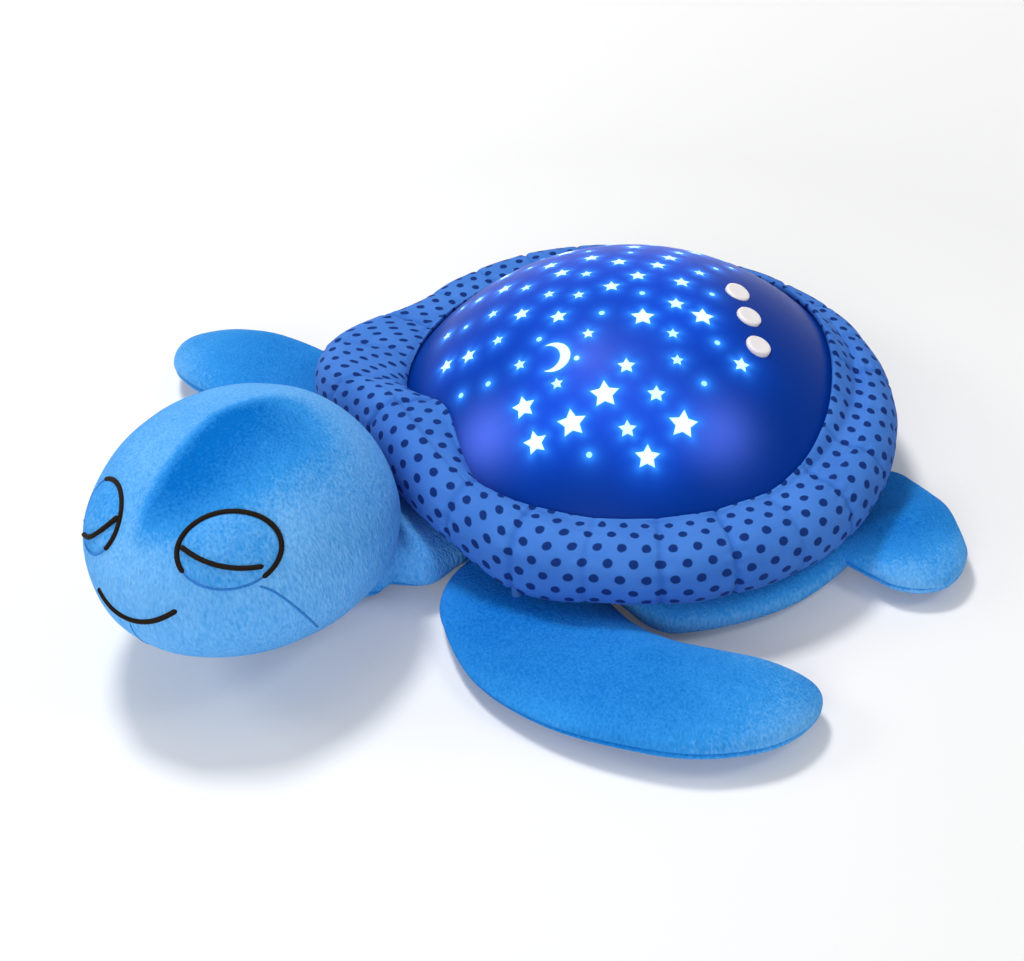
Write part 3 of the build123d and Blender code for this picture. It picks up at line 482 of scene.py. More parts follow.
@dataclass(frozen=True)
class LitWindow:
    """Milky acrylic window, lit from behind: white in its middle, cyan at its edge."""

    name: str = "acrylic_milky_backlit"
    body: str = "#6FA0C0"
    edge: str = "#22B2FF"
    middle: str = "#F4FFFF"

    def material(self) -> bpy.types.Material:
        """Makes the window's light from the painted core.

        Returns:
            The material.
        """
        material, tree, shader = new_material(self.name, {
            "Base Color": linear(self.body), "Roughness": 0.3, "Emission Strength": 1.0})
        core = add_node(tree, "ShaderNodeAttribute", {"attribute_name": "core"})
        light = add_node(tree, "ShaderNodeMix", {
            "data_type": "RGBA", 6: linear(self.edge), 7: linear(self.middle)}, {0: core.outputs["Fac"]})
        tree.links.new(light.outputs[2], shader.inputs["Emission Color"])
        return material


@dataclass(frozen=True)
class Moulded:
    """Moulded, plated or coated hard finish.

    Two close tones and an uneven gloss, with a fine grit from the tool that made it.
    """

    name: str
    colour: str
    shade: str
    roughness: float
    metallic: float = 0.0
    grit_mm: float = 0.8
    grit_depth_mm: float = 0.03
    glow: float = 0.0
    cloud_mm: float = 9.0
    gloss_spread: float = 0.06

    def material(self) -> bpy.types.Material:
        """Makes the finish: two close tones, uneven gloss and a fine bump.

        Returns:
            The material.
        """
        material, tree, shader = new_material(self.name, {
            "Metallic": self.metallic, "Emission Strength": self.glow, "Emission Color": linear(self.colour)})
        place = add_node(tree, "ShaderNodeTexCoord").outputs["Object"]
        cloud = add_node(tree, "ShaderNodeTexNoise", {"Scale": 1 / (self.cloud_mm * MM), "Detail": 3.0},
                         {"Vector": place})
        grit = add_node(tree, "ShaderNodeTexNoise", {"Scale": 1 / (self.grit_mm * MM), "Detail": 2.0},
                        {"Vector": place})
        tone = add_node(tree, "ShaderNodeMix", {
            "data_type": "RGBA", 6: linear(self.shade), 7: linear(self.colour)}, {0: cloud.outputs["Fac"]})
        gloss = add_node(tree, "ShaderNodeMapRange", {
            3: self.roughness - self.gloss_spread, 4: self.roughness + self.gloss_spread},
            {0: cloud.outputs["Fac"]})
        bump = add_node(tree, "ShaderNodeBump", {"Strength": 0.3, "Distance": self.grit_depth_mm * MM},
                        {"Height": grit.outputs["Fac"]})
        tree.links.new(tone.outputs[2], shader.inputs["Base Color"])
        tree.links.new(gloss.outputs[0], shader.inputs["Roughness"])
        tree.links.new(bump.outputs[0], shader.inputs["Normal"])
        return material


@dataclass(frozen=True)
class Thread:
    """Filament thread, sewn or woven close: soft lustre, ribbed where threads lie side by side."""

    name: str
    colour: str
    thread_mm: float = 0.7
    thread_depth_mm: float = 0.2
    shaded: float = 0.6
    lit: float = 1.5

    def material(self) -> bpy.types.Material:
        """Makes the thread: a ribbed bump, painted lit and shaded, drawn coarser than real thread so that it
        shows.

        Returns:
            The material.
        """
        material, tree, shader = new_material(self.name, {"Roughness": 0.7, "Specular IOR Level": 0.1})
        place = add_node(tree, "ShaderNodeTexCoord").outputs["Object"]
        ribs = add_node(tree, "ShaderNodeTexNoise", {"Scale": 1 / (self.thread_mm * MM), "Detail": 1.0},
                        {"Vector": place})
        # Painted light and painted shade: lit and shaded copies of the thread's colour, mixed along the ribs.
        red, green, blue, alpha = linear(self.colour)
        low, high = [(red * k, green * k, blue * k, alpha) for k in (self.shaded, self.lit)]
        tone = add_node(tree, "ShaderNodeMix", {"data_type": "RGBA", 6: low, 7: high},
                        {0: ribs.outputs["Fac"]})
        bump = add_node(tree, "ShaderNodeBump", {"Strength": 0.5, "Distance": self.thread_depth_mm * MM},
                        {"Height": ribs.outputs["Fac"]})
        tree.links.new(tone.outputs[2], shader.inputs["Base Color"])
        tree.links.new(bump.outputs[0], shader.inputs["Normal"])
        return material


# Brushed plush: soft mid blue; its deep blue is painted shade where the pile lies over, its pale blue painted
# light.
PLUSH = Plush("polyester_plush_short_pile", "#0069C0", "#3292E2", "#7DC0FA")
# Printed knit: a smoother, cooler blue with crisp navy dots; its darker blue is painted shade.
KNIT = DottedKnit("polyester_knit_polka_dot_print", "#4880D4", "#2860B6", "#0A2D72")
# Satin stitch: a dark brown raised line with a faint lustre.
STITCH = Thread("rayon_satin_stitch_brown", "#160D05")
# Seam thread: close to the cloth's blue, so that it shows only as a fine line.
SEAM = Thread("polyester_seam_thread_blue", "#2F7CC6")


# Star dome
class Window(Enum):
    """Kind of window in a ring of the dome, as its letter in the ring's pattern."""

    BIG = "B"
    LARGE = "L"
    MEDIUM = "M"
    SMALL = "S"
    DOT = "o"
    NONE = "-"


@dataclass
class StarDome:
    """Dome of the light unit, with its lit windows and press buttons."""

    foot_radius: float = 98.0
    rise: float = 49.0
    wall: float = 2.4
    flange_top: float = 42.0
    # Mesh of the shell: rows outside and inside, the tilts of their first rings, and columns.
    shell_rows: tuple[int, int] = (104, 14)
    crown_tilts: tuple[float, float] = (0.35, 0.5)
    shell_columns: int = 432
    bore_edge: float = 32.0
    star_radius: dict[Window, float] = field(default_factory=lambda: {
        Window.BIG: 6.2, Window.LARGE: 5.2, Window.MEDIUM: 3.8, Window.SMALL: 2.7})
    star_tips: int = 5
    star_waist: float = 0.52
    dot_radius: float = 1.25
    tip_heading: float = 150.0
    # Rings of windows: tilt from the crown, bearing of the first, and the windows in order.
    rings: tuple[tuple[float, float, str], ...] = (
        (3.74, 126.0, "MMo"), (10.35, 342.0, "LMMMMSSo"), (16.11, 29.0, "LoSMoMMSMS-S"),
        (22.06, 327.0, "MSo--oSMoMSMoo"), (28.26, 319.0, "BMoM---oMSoLoMSSSS"),
        (34.85, 310.0, "BMB------SoMSoMSoMoL"), (40.16, 301.0, "LoL---------SoMo-oSMo-"))
    # Section of a window, from its edge to its middle: share of the outline, height and light.
    lens: tuple[tuple[float, float, float], ...] = (
        (1.0, -0.5, 0.0), (1.0, 0.03, 0.0), (0.88, 0.12, 0.75), (0.6, 0.16, 1.0), (0.3, 0.17, 1.0))
    # Light of the smallest window, and the size that shines in full.
    dim: float = 0.1
    bright_size: float = 6.0
    moon_tilt: float = 23.58
    moon_bearing: float = 290.0
    moon_heading: float = 239.0
    moon_radius: float = 7.2
    moon_bite: float = 6.2
    moon_shift: float = 3.4
    moon_points: int = 49
    # Section of the crescent, from its outer arc to its inner one: share of the way, height and light.
    crescent: tuple[tuple[float, float, float], ...] = (
        (0.0, -0.5, 0.0), (0.0, 0.03, 0.0), (0.12, 0.12, 0.8), (0.5, 0.17, 1.0), (0.88, 0.12, 0.8),
        (1.0, 0.03, 0.0), (1.0, -0.5, 0.0))
    # Halo round a window: share and reach of its bright and its wide part.
    halos: tuple[tuple[float, float], ...] = ((0.95, 1.1), (0.4, 3.4))
    # Wash of light over the wall: least, share, reach, and the window size and power it grows with.
    wash_least: float = 0.04
    wash_share: float = 0.3
    wash_reach: float = 15.0
    wash_size: float = 5.0
    wash_power: float = 1.2
    # Painted highlights, soft lavender glows on the wall: tilt, bearing, spread and share.
    painted_highlights: tuple[tuple[float, float, float, float], ...] = (
        (42.6, 285.7, 14.0, 0.7), (37.9, 356.2, 14.0, 0.5), (24.0, 322.0, 30.0, 0.16))
    row_tilt: float = 24.01
    row_bearing: float = 49.31
    row_heading: float = -15.0
    button_pitch: float = 16.6
    button_radius: float = 5.5
    button_proud: float = 1.2
    button_room: float = 0.35
    # How far a bore's cutter goes below and above the dome.
    bore_reach: tuple[float, float] = (9.0, 6.0)

    @property
    def radius(self) -> float:
        """Radius of the dome's sphere."""
        return (self.foot_radius**2 + self.rise**2) / (2 * self.rise)

    @property
    def centre(self) -> Array:
        """Centre of the dome's sphere."""
        return np.array([0.0, 0.0, self.flange_top + self.rise - self.radius])

    def tangent(self, tilt: float, bearing: float, heading: float) -> Axes:
        """Axes that touch the dome.

        Args:
            tilt: Degrees down from the crown.
            bearing: Degrees from +X in plan.
            heading: Direction of the x axis in plan.

        Returns:
            The x axis, the y axis and the normal.
        """
        t, b, h = np.radians([tilt, bearing, heading])
        normal = np.array([np.sin(t) * np.cos(b), np.sin(t) * np.sin(b), np.cos(t)])
        along = np.array([np.cos(h), np.sin(h), 0.0])
        along -= normal * (along @ normal)
        along /= np.linalg.norm(along)
        return along, np.cross(normal, along), normal

    def height_at(self, reach: Array) -> Array:
        """Height of the dome, some way out from its axis."""
        return self.centre[2] + np.sqrt(np.maximum(self.radius**2 - reach**2, 0.0))

    def on_sphere(self, axes: Axes, flat: Array, height: Array) -> Array:
        """Lays points of a tangent plane on the dome.

        Args:
            axes: Axes of the plane.
            flat: Points of the plane, in millimetres.
            height: Height of each over the dome.

        Returns:
            Points in the frame.
        """
        along, aside, normal = axes
        reach = normal * self.radius + flat[..., :1] * along + flat[..., 1:2] * aside
        reach = reach / np.linalg.norm(reach, axis=-1, keepdims=True)
        return self.centre + reach * (self.radius + height[..., None])

    def star_outline(self, tip: float, steps: int = 4) -> Array:
        """Draws a star.

        Args:
            tip: Reach of its tips.
            steps: Points along each side.

        Returns:
            Flat points round it.
        """
        corner = np.arange(2 * self.star_tips + 1)
        angles = np.radians(180.0 / self.star_tips * corner)
        reach = np.where(corner % 2 == 0, tip, tip * self.star_waist)
        corners = np.stack([reach * np.cos(angles), reach * np.sin(angles)], -1)
        share = (np.arange(steps) / steps)[:, None]
        return np.concatenate([a + (b - a) * share for a, b in zip(corners, corners[1:])])

    def windows(self) -> list[tuple[Axes, Array]]:
        """Lays out the stars and dots.

        Returns:
            Axes and flat outline of each.
        """
        found = []
        turn = np.linspace(0, 2 * np.pi, 18, endpoint=False)
        dot = self.dot_radius * np.stack([np.cos(turn), np.sin(turn)], -1)
        for tilt, first, pattern in self.rings:
            for i, letter in enumerate(pattern):
                kind = Window(letter)
                if kind is Window.NONE:
                    continue
                axes = self.tangent(tilt, first + 360.0 * i / len(pattern), self.tip_heading)
                found.append((axes, dot if kind is Window.DOT else self.star_outline(self.star_radius[kind])))
        return found

    def moon_rings(self) -> tuple[Axes, Array, Array]:
        """Draws the crescent.

        Returns:
            Its axes, and its outer and inner arc from horn to horn.
        """
        outer, bite, shift = self.moon_radius, self.moon_bite, self.moon_shift
        axes = self.tangent(self.moon_tilt, self.moon_bearing, self.moon_heading)
        horn = math.acos((outer**2 + shift**2 - bite**2) / (2 * outer * shift))
        inner_horn = math.atan2(outer * math.sin(horn), outer * math.cos(horn) - shift)
        a = np.linspace(horn, 2 * np.pi - horn, self.moon_points)
        b = np.linspace(inner_horn, 2 * np.pi - inner_horn, self.moon_points)
        far = outer * np.stack([np.cos(a), np.sin(a)], -1)
        near = np.stack([shift + bite * np.cos(b), bite * np.sin(b)], -1)
        return axes, far, near

    def build_lenses(self, material: bpy.types.Material) -> tuple[bpy.types.Object, Array, Array]:
        """Builds the lit windows, a little proud of the dome.

        Args:
            material: Finish of the windows.

        Returns:
            The windows as one piece, points on all outlines, and the windows' middles with their sizes.
        """
        points, faces, core, outlines, middles = [], [], [], [], []
        count = 0
        for axes, outline in self.windows():
            rings = np.stack([self.on_sphere(axes, outline * share, np.full(len(outline), height))
                              for share, height, _ in self.lens])
            vertices, quads = closed_loft(rings, count)
            points.append(vertices)
            faces += quads
            count += len(vertices)
            size = np.linalg.norm(outline, axis=1).max()
            bright = self.dim + (1 - self.dim) * min(1.0, size / self.bright_size)
            light = np.repeat([lit for _, _, lit in self.lens], len(outline))
            core.append(bright * np.concatenate([light, [0.0, 1.0]]))
            outlines.append(rings[1])
            middles.append([*(self.centre + axes[2] * self.radius), size])
        axes, far, near = self.moon_rings()
        rings = np.stack([self.on_sphere(axes, far + (near - far) * share, np.full(len(far), height))
                          for share, height, _ in self.crescent], 1)
        vertices, quads = closed_loft(rings, count)
        points.append(vertices)
        faces += quads
        light = np.tile([lit for _, _, lit in self.crescent], len(far))
        core.append(np.concatenate([light, [0.5, 0.5]]))
        outlines += [rings[:, 1], rings[:, -2]]
        middles.append([*rings[len(far) // 2, len(self.crescent) // 2], self.moon_radius])
        piece = finish_mesh("star_windows", np.vstack(points), faces, material)
        paint(piece, "core", np.concatenate(core))
        return piece, np.vstack(outlines), np.array(middles)

    def button_axes(self) -> Axes:
        """Axes of the button row: along it, across it and the press axis."""
        return self.tangent(self.row_tilt, self.row_bearing, self.row_heading)

    def build_shell(self, material: bpy.types.Material, outlines: Array, middles: Array) -> bpy.types.Object:
        """Builds the dome's shell with its three bores, and paints its glow.

        Args:
            material: Finish of the shell.
            outlines: Points on the windows' outlines.
            middles: Middles and sizes of the windows.

        Returns:
            The shell.
        """
        edge = math.degrees(math.asin(self.foot_radius / self.radius))
        outer = np.linspace(self.crown_tilts[0], edge, self.shell_rows[0])
        inner = np.linspace(edge, self.crown_tilts[1], self.shell_rows[1])
        tilts = np.radians(np.concatenate([outer, inner]))
        reach = np.repeat([self.radius, self.radius - self.wall], self.shell_rows)
        turn = np.linspace(0, 2 * np.pi, self.shell_columns, endpoint=False)
        flat = (reach * np.sin(tilts))[:, None]
        z = np.broadcast_to((self.centre[2] + reach * np.cos(tilts))[:, None], (len(tilts), len(turn)))
        points = np.stack([flat * np.cos(turn), flat * np.sin(turn), z], -1)
        points[len(outer):, :, 2] = np.maximum(points[len(outer):, :, 2], self.flange_top)
        vertices, faces = closed_loft(points)
        shell = finish_mesh("dome_shell_lit", vertices, faces, material)
        along, _, normal = self.button_axes()
        for k in (-1, 0, 1):
            self.bore(shell, self.centre + normal * self.radius + along * self.button_pitch * k, normal)
        shell.data.set_sharp_from_angle(angle=math.radians(self.bore_edge))
        self.paint_glow(shell, outlines, middles)
        return shell

    def bore(self, shell: bpy.types.Object, middle: Array, normal: Array) -> None:
        """Cuts one button bore through the shell.

        Args:
            shell: Shell of the dome.
            middle: Point of the bore's axis, on the dome.
            normal: Direction of the bore, outwards.
        """
        turn = np.linspace(0, 2 * np.pi, 64, endpoint=False)[:, None]
        across = np.cross(normal, [0.0, 0.0, 1.0])
        across /= np.linalg.norm(across)
        aside = np.cross(normal, across)
        radius = self.button_radius + self.button_room
        ring = middle + radius * (np.cos(turn) * across + np.sin(turn) * aside)
        below, above = self.bore_reach
        rings = np.stack([ring - normal * below, ring + normal * above])
        cutter = finish_mesh("bore_cutter", *closed_loft(rings), shell.data.materials[0])
        cut = shell.modifiers.new("bore", "BOOLEAN")
        cut.operation, cut.solver, cut.object = "DIFFERENCE", "EXACT", cutter
        done = bpy.data.meshes.new_from_object(shell.evaluated_get(bpy.context.evaluated_depsgraph_get()))
        shell.modifiers.clear()
        shell.data = done
        bpy.data.objects.remove(cutter)

    def paint_glow(self, shell: bpy.types.Object, outlines: Array, middles: Array) -> None:
        """Paints the glow of the wall: halo and wash of the windows' light through it, and painted
        highlights.

        Args:
            shell: Shell of the dome.
            outlines: Points on the windows' outlines.
            middles: Middles and sizes of the windows.
        """
        places = np.array([v.co for v in shell.data.vertices]) / MM
        tree = KDTree(len(outlines))
        for i, point in enumerate(outlines):
            tree.insert(point, i)
        tree.balance()
        near = np.array([tree.find(p)[2] for p in places])
        halo = sum(share * np.exp(-near / reach) for share, reach in self.halos)
        gap = np.linalg.norm(places[:, None, :] - middles[None, :, :3], axis=2)
        strength = (middles[:, 3] / self.wash_size) ** self.wash_power
        wash = (np.exp(-((gap / self.wash_reach) ** 2)) * strength).sum(1)
        # Painted highlights: soft spots of glow at the listed places on the wall.
        spot = np.zeros(len(places))
        for tilt, bearing, spread, share in self.painted_highlights:
            seen = self.centre + self.tangent(tilt, bearing, 0.0)[2] * self.radius
            spot += share * np.exp(-((np.linalg.norm(places - seen, axis=1) / spread) ** 2))
        paint(shell, "spot", np.clip(spot, 0, 1))
        paint(shell, "halo", np.clip(halo, 0, 1))
        paint(shell, "wash", np.clip(self.wash_least + self.wash_share * wash, 0, 1))

    def build_button(self, index: int, material: bpy.types.Material) -> bpy.types.Object:
        """Builds one press button: a slightly dished cap with a rounded edge, a flange and a stem.

        Args:
            index: Place in the row, from 1 to 3.
            material: Finish of the button.

        Returns:
            The button.
        """
        along, aside, normal = self.button_axes()
        offset = self.button_pitch * (index - 2)
        drop = math.sqrt(self.radius**2 - offset**2) - self.radius
        top = drop + self.button_proud
        r = self.button_radius
        # Turned outline from the middle of the cap to the foot of the stem: radius and height.
        profile = np.array([
            (0.4, top - 0.1), (2.4, top - 0.08), (r - 1.5, top + 0.02), (r - 1.0, top),
            (r - 0.55, top - 0.14), (r - 0.2, top - 0.42), (r - 0.03, top - 0.85), (r, top - 1.3),
            (r, top - 3.6), (r + 1.2, top - 3.7), (r + 1.2, top - 5.0), (2.1, top - 5.2),
            (2.0, top - 9.0), (0.4, top - 9.0)])
        turn = np.linspace(0, 2 * np.pi, 56, endpoint=False)[:, None]
        middle = self.centre + normal * self.radius + along * offset
        spokes = np.cos(turn) * along + np.sin(turn) * aside
        rings = middle + profile[:, None, :1] * spokes[None] + profile[:, None, 1:] * normal
        piece = finish_mesh(f"press_button_{index}", *closed_loft(rings), material, sharp=50)
        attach(piece, f"button_{index}")
        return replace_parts(piece, f"button_{index}")

    def build(self) -> list[bpy.types.Object]:
        """Builds the dome, its windows and its buttons, and puts them on their bodies.

        Returns:
            The shell, the windows and the three buttons.
        """
        lenses, outlines, middles = self.build_lenses(LitWindow().material())
        shell = self.build_shell(LitDome().material(), outlines, middles)
        for piece, slot in ((shell, "dome_blue"), (lenses, "liner_milky")):
            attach(piece, "body")
        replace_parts(shell, "dome_shell")
        # Cream ABS from a satin tool: a warm white with a soft highlight on its rounded edge.
        cream = Moulded("abs_cream_satin_moulded", "#EEE9EA", "#E4DEE0", 0.42).material()
        return [shell, lenses, *[self.build_button(k, cream) for k in (1, 2, 3)]]


# Stuffed parts
@dataclass
class RimRoll:
    """Stuffed roll of dotted knit round the dome, sewn across into short puffs."""

    side: float = 109.0
    front: float = 102.5
    rear: float = 97.0
    mean_radius: float = 105.0
    height: float = 31.0
    half_width: float = 14.0
    half_height: float = 15.0
    seams: int = 25
    first_seam: float = 333.5
    plain_seam: int = 21
    # Pull of the seams, which differs as in sewing by hand: mean, spread and beat.
    pull: tuple[float, float, float] = (0.75, 0.3, 2.3)
    # What a seam draws in: the whole puff, and a narrow crease.
    pinch: float = 0.7
    pinch_power: float = 0.7
    crease: float = 0.9
    crease_width: float = 1.1
    # Puckers beside a seam. The scatter starts each seam's puckers at an angle of their own.
    pucker_height: float = 0.36
    pucker_from_seam: float = 2.4
    pucker_width: float = 2.6
    pucker_ridges: int = 15
    pucker_wander: tuple[float, int] = (1.3, 4)
    pucker_scatter: tuple[float, float, float] = (12.9898, 43758.5453, 6.2831)
    # Fine gathers along the inner edge: place and width round the section, in half turns and radians.
    gather_height: float = 0.1
    gather_at: float = 0.80
    gather_width: float = 0.26
    gathers: int = 118
    gather_wander: tuple[float, float] = (2.0, 2.7)
    # Lumps of the filling: height, size and seed.
    lump: tuple[float, float, float] = (0.5, 17.0, 3.0)
    # Painted shade: level at the sides, painted light rising to the top, and a seam's painted shade, depth
    # and width.
    painted_shade_middle: float = 0.55
    painted_light_rise: float = 0.22
    painted_seam_shade: tuple[float, float] = (0.35, 1.3)
    # Raised collar behind the head: bearing, spread, lift and fill.
    collar: tuple[float, float, float, float] = (262.0, 62.0, 10.0, 3.0)
    # Bulge over the right shoulder: bearing, spread and push.
    shoulder: tuple[float, float, float] = (234.0, 28.0, 22.0)
    shoulder_fill: float = 0.6
    # Laps over the dome: bearing, spread and width.
    laps: tuple[tuple[float, float, float], ...] = ((268.0, 25.0, 11.0), (62.0, 64.0, 11.0))
    least_lap: float = 1.4
    lap_lift: float = 0.3
    lap_pad: float = 6.0
    lap_fullness: float = 0.6
    lap_return: float = 0.7
    # Tacks that draw the roll down at the shoulders: bearings, spread, pull, and slant out and down.
    tack_at: tuple[float, float] = (306.0, 234.0)
    tack_spread: float = 18.0
    tack_pull: float = 4.5
    tack_slant: tuple[float, float] = (0.6, 0.8)
    dome: StarDome = field(default_factory=StarDome)
    gap: float = 0.5
    foot_band: float = 4.0
    per_puff: int = 36
    around: int = 84

    @staticmethod
    def lobe(bearing: Array, centre: float, spread: float) -> Array:
        """Smooth bump that is 1 at a bearing and 0 beyond its spread."""
        away = np.abs((bearing - centre + 180.0) % 360.0 - 180.0)
        return np.cos(np.radians(90.0 * np.minimum(1.0, away / spread))) ** 2

    def skin(self, bearing: Array, phi: Array, draw: Array, swell: Array) -> tuple[Array, Array]:
        """Works out the roll's skin.

        Args:
            bearing: Degrees from +X of each section.
            phi: Angles round a section, from its bottom.
            draw: How far the seams draw each section in.
            swell: Puckers, as a share of the section's size.

        Returns:
            Points by section and angle, and the middle of each section.
        """
        collar_at, collar_spread, lift, fill = self.collar
        shoulder_at, shoulder_spread, push = self.shoulder
        collar = self.lobe(bearing, collar_at, collar_spread)
        shoulder = self.lobe(bearing, shoulder_at, shoulder_spread)
        lap = self.least_lap + sum(wide * self.lobe(bearing, at, spread) for at, spread, wide in self.laps)
        c, s = np.cos(np.radians(bearing)), np.sin(np.radians(bearing))
        ends = np.where(s < 0, self.front, self.rear)
        outward = np.stack([c / self.side, s / ends, 0 * c], -1)
        outward /= np.linalg.norm(outward, axis=1)[:, None]
        middle = np.stack([self.side * c, ends * s, self.height + lift * collar + self.lap_lift * lap], -1)
        middle += outward * (push * shoulder)[:, None]
        inward = self.half_width + fill * collar + self.shoulder_fill * push * shoulder
        width = np.where(np.cos(phi)[None] > 0, self.half_width, inward[:, None]) - draw[:, None]
        tall = (self.half_height + self.lap_lift * lap / 2 - draw)[:, None]
        points = (middle[:, None] + outward[:, None] * (np.cos(phi)[None] * width * swell)[..., None]
                  + np.array([0, 0, 1.0]) * (np.sin(phi)[None] * tall * swell)[..., None])
        sewn = sum(self.lobe(bearing, at, self.tack_spread) for at in self.tack_at)
        below = np.clip(np.cos(phi), 0, 1) * np.clip(-np.sin(phi), 0, 1) * 2
        out, down = self.tack_slant
        slant = out * outward[:, None] - [0, 0, down]
        points += (self.tack_pull * sewn[:, None] * below[None])[..., None] * slant
        relief = (swell - 1) * self.half_width - draw[:, None]
        return self.lap_dome(self.rest_on_dome(points), lap, middle, phi, relief), middle

    def lap_dome(self, points: Array, lap: Array, middle: Array, phi: Array, relief: Array) -> Array:
        """Lays the roll's inner side up over the dome.

        Args:
            points: Skin that only rests against the dome.
            lap: How far each section laps over the dome's foot.
            middle: Middle of each section.
            phi: Angles round a section.
            relief: Seams and puckers, as a height.

        Returns:
            Skin with its laps.
        """
        far = np.linalg.norm(middle[:, :2], axis=1)
        ray = (middle[:, :2] / far[:, None])[:, None]
        edge = self.dome.foot_radius - lap
        rising = np.clip(phi - np.pi / 2, 0, np.pi / 2)[None]
        reach = far[:, None] + (edge - far)[:, None] * np.sin(rising)
        under = self.dome.height_at(reach) + self.gap
        lip = (self.dome.height_at(edge) + self.gap)[:, None]
        crown = lip + ((middle[:, 2] + self.half_height)[:, None] - lip) * np.cos(rising)
        full = np.cos(rising) ** self.lap_fullness
        z = np.maximum(np.maximum(crown, under + self.lap_pad * full) + relief * full, under)
        upper = np.concatenate([ray * reach[..., None], z[..., None]], -1)
        tip = np.concatenate([ray * edge[:, None, None], lip[..., None]], -1)
        back = smooth_step(phi, np.pi, np.pi + self.lap_return)[None, :, None]
        lower = self.rest_on_dome(tip * (1 - back) + points * back)
        inner = np.where((phi > np.pi)[None, :, None], lower, upper)
        shaped = np.where((phi > np.pi / 2)[None, :, None], inner, points)
        return self.rest_on_dome(shaped)

    def surface(self) -> tuple[Array, Array, Array]:
        """Works out the sewn roll.

        Returns:
            Points, cloth lengths in millimetres for each corner, and the painted shade of each point.
        """
        count = self.seams * self.per_puff
        share = np.arange(count) / self.per_puff
        bearing = self.first_seam + share * 360.0 / self.seams
        phi = np.linspace(-np.pi / 2, 1.5 * np.pi, self.around, endpoint=False)
        within = share % 1.0
        to_seam = np.minimum(within, 1 - within) * (2 * np.pi * self.mean_radius / self.seams)
        seam = np.round(share) % self.seams
        mean, spread, beat = self.pull
        pull = np.where(seam == self.plain_seam, 0.0, mean + spread * np.sin(seam * beat))
        draw = pull * (self.pinch * (1 - np.sin(np.pi * within) ** self.pinch_power)
                       + self.crease * np.exp(-((to_seam / self.crease_width) ** 2)))
        beat, stretch, cycle = self.pucker_scatter
        phase = (np.sin(seam * beat) * stretch % cycle)[:, None]
        wander, bends = self.pucker_wander
        ridge = np.sin(phi[None] * self.pucker_ridges + phase + wander * np.sin(phi[None] * bends + phase))
        beside = np.exp(-(((to_seam - self.pucker_from_seam) / self.pucker_width) ** 2))
        pucker = self.pucker_height * pull[:, None] * beside[:, None] * ridge
        tight = np.exp(-(((phi - self.gather_at * np.pi) / self.gather_width) ** 2))
        wander, beat = self.gather_wander
        wave = np.sin(np.radians(bearing) * self.gathers + wander * np.sin(share * beat))
        gather = self.gather_height * tight[None] * wave[:, None]
        points, middle = self.skin(bearing, phi, draw, 1 + (pucker + gather) / self.half_width)
        away = points - middle[:, None]
        away /= np.linalg.norm(away, axis=-1, keepdims=True)
        height, size, seed = self.lump
        points = self.rest_on_dome(points + away * (height * lumps(points, size, seed))[..., None])
        smooth, _ = self.skin(bearing, phi, 0 * draw, np.ones_like(pucker))
        along = np.linalg.norm(np.diff(middle, axis=0, append=middle[:1]), axis=1)
        run = np.concatenate([[0], np.cumsum(along)])
        steps = np.linalg.norm(np.roll(smooth, -1, axis=1) - smooth, axis=-1)
        girth = np.concatenate([np.zeros((count, 1)), np.cumsum(steps, axis=1)], axis=1)
        girth = np.concatenate([girth, girth[:1]])
        cloth = np.stack([np.broadcast_to(run[:, None], girth.shape), girth], -1)
        # Painted shade: dark in each seam's crease, lighter towards the top, where the light falls.
        depth, width = self.painted_seam_shade
        crease = depth * (pull * np.exp(-((to_seam / width) ** 2)))[:, None]
        painted_shade = np.broadcast_to(self.painted_shade_middle + self.painted_light_rise * np.sin(phi)[None] - crease, points.shape[:2])
        return points, cloth, painted_shade

    def rest_on_dome(self, points: Array) -> Array:
        """Presses the inner side flat where it meets the dome and its foot.

        Args:
            points: Skin of the roll.

        Returns:
            Skin that stays outside the dome.
        """
        away = points - self.dome.centre
        distance = np.linalg.norm(away, axis=-1)
        least = self.dome.radius + self.gap
        inside = (distance < least) & (points[..., 2] >= self.dome.flange_top)
        hugged = self.dome.centre + away * (least / distance)[..., None]
        points = np.where(inside[..., None], hugged, points)
        flat = np.linalg.norm(points[..., :2], axis=-1)
        foot = self.dome.foot_radius + self.gap
        z = points[..., 2]
        level = (z > self.dome.flange_top - self.foot_band) & (z < self.dome.flange_top)
        beside = ((flat < foot) & level)[..., None]
        points[..., :2] = np.where(beside, points[..., :2] * (foot / flat)[..., None], points[..., :2])
        return points

    def build(self) -> bpy.types.Object:
        """Builds the roll and puts it on the body.

        Returns:
            The roll.
        """
        points, cloth, painted_shade = self.surface()
        rows, columns, _ = points.shape
        faces = grid_faces(rows, columns, True, True).tolist()
        i, j = np.meshgrid(np.arange(rows), np.arange(columns), indexing="ij")
        corners = np.stack([cloth[i, j], cloth[i + 1, j], cloth[i + 1, j + 1], cloth[i, j + 1]], 2)
        piece = finish_mesh("rim_roll_dotted", points.reshape(-1, 3), faces, KNIT.material(), corners)
        paint(piece, "painted_shade", painted_shade.ravel())
        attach(piece, "body")
        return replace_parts(piece, "rim_roll")


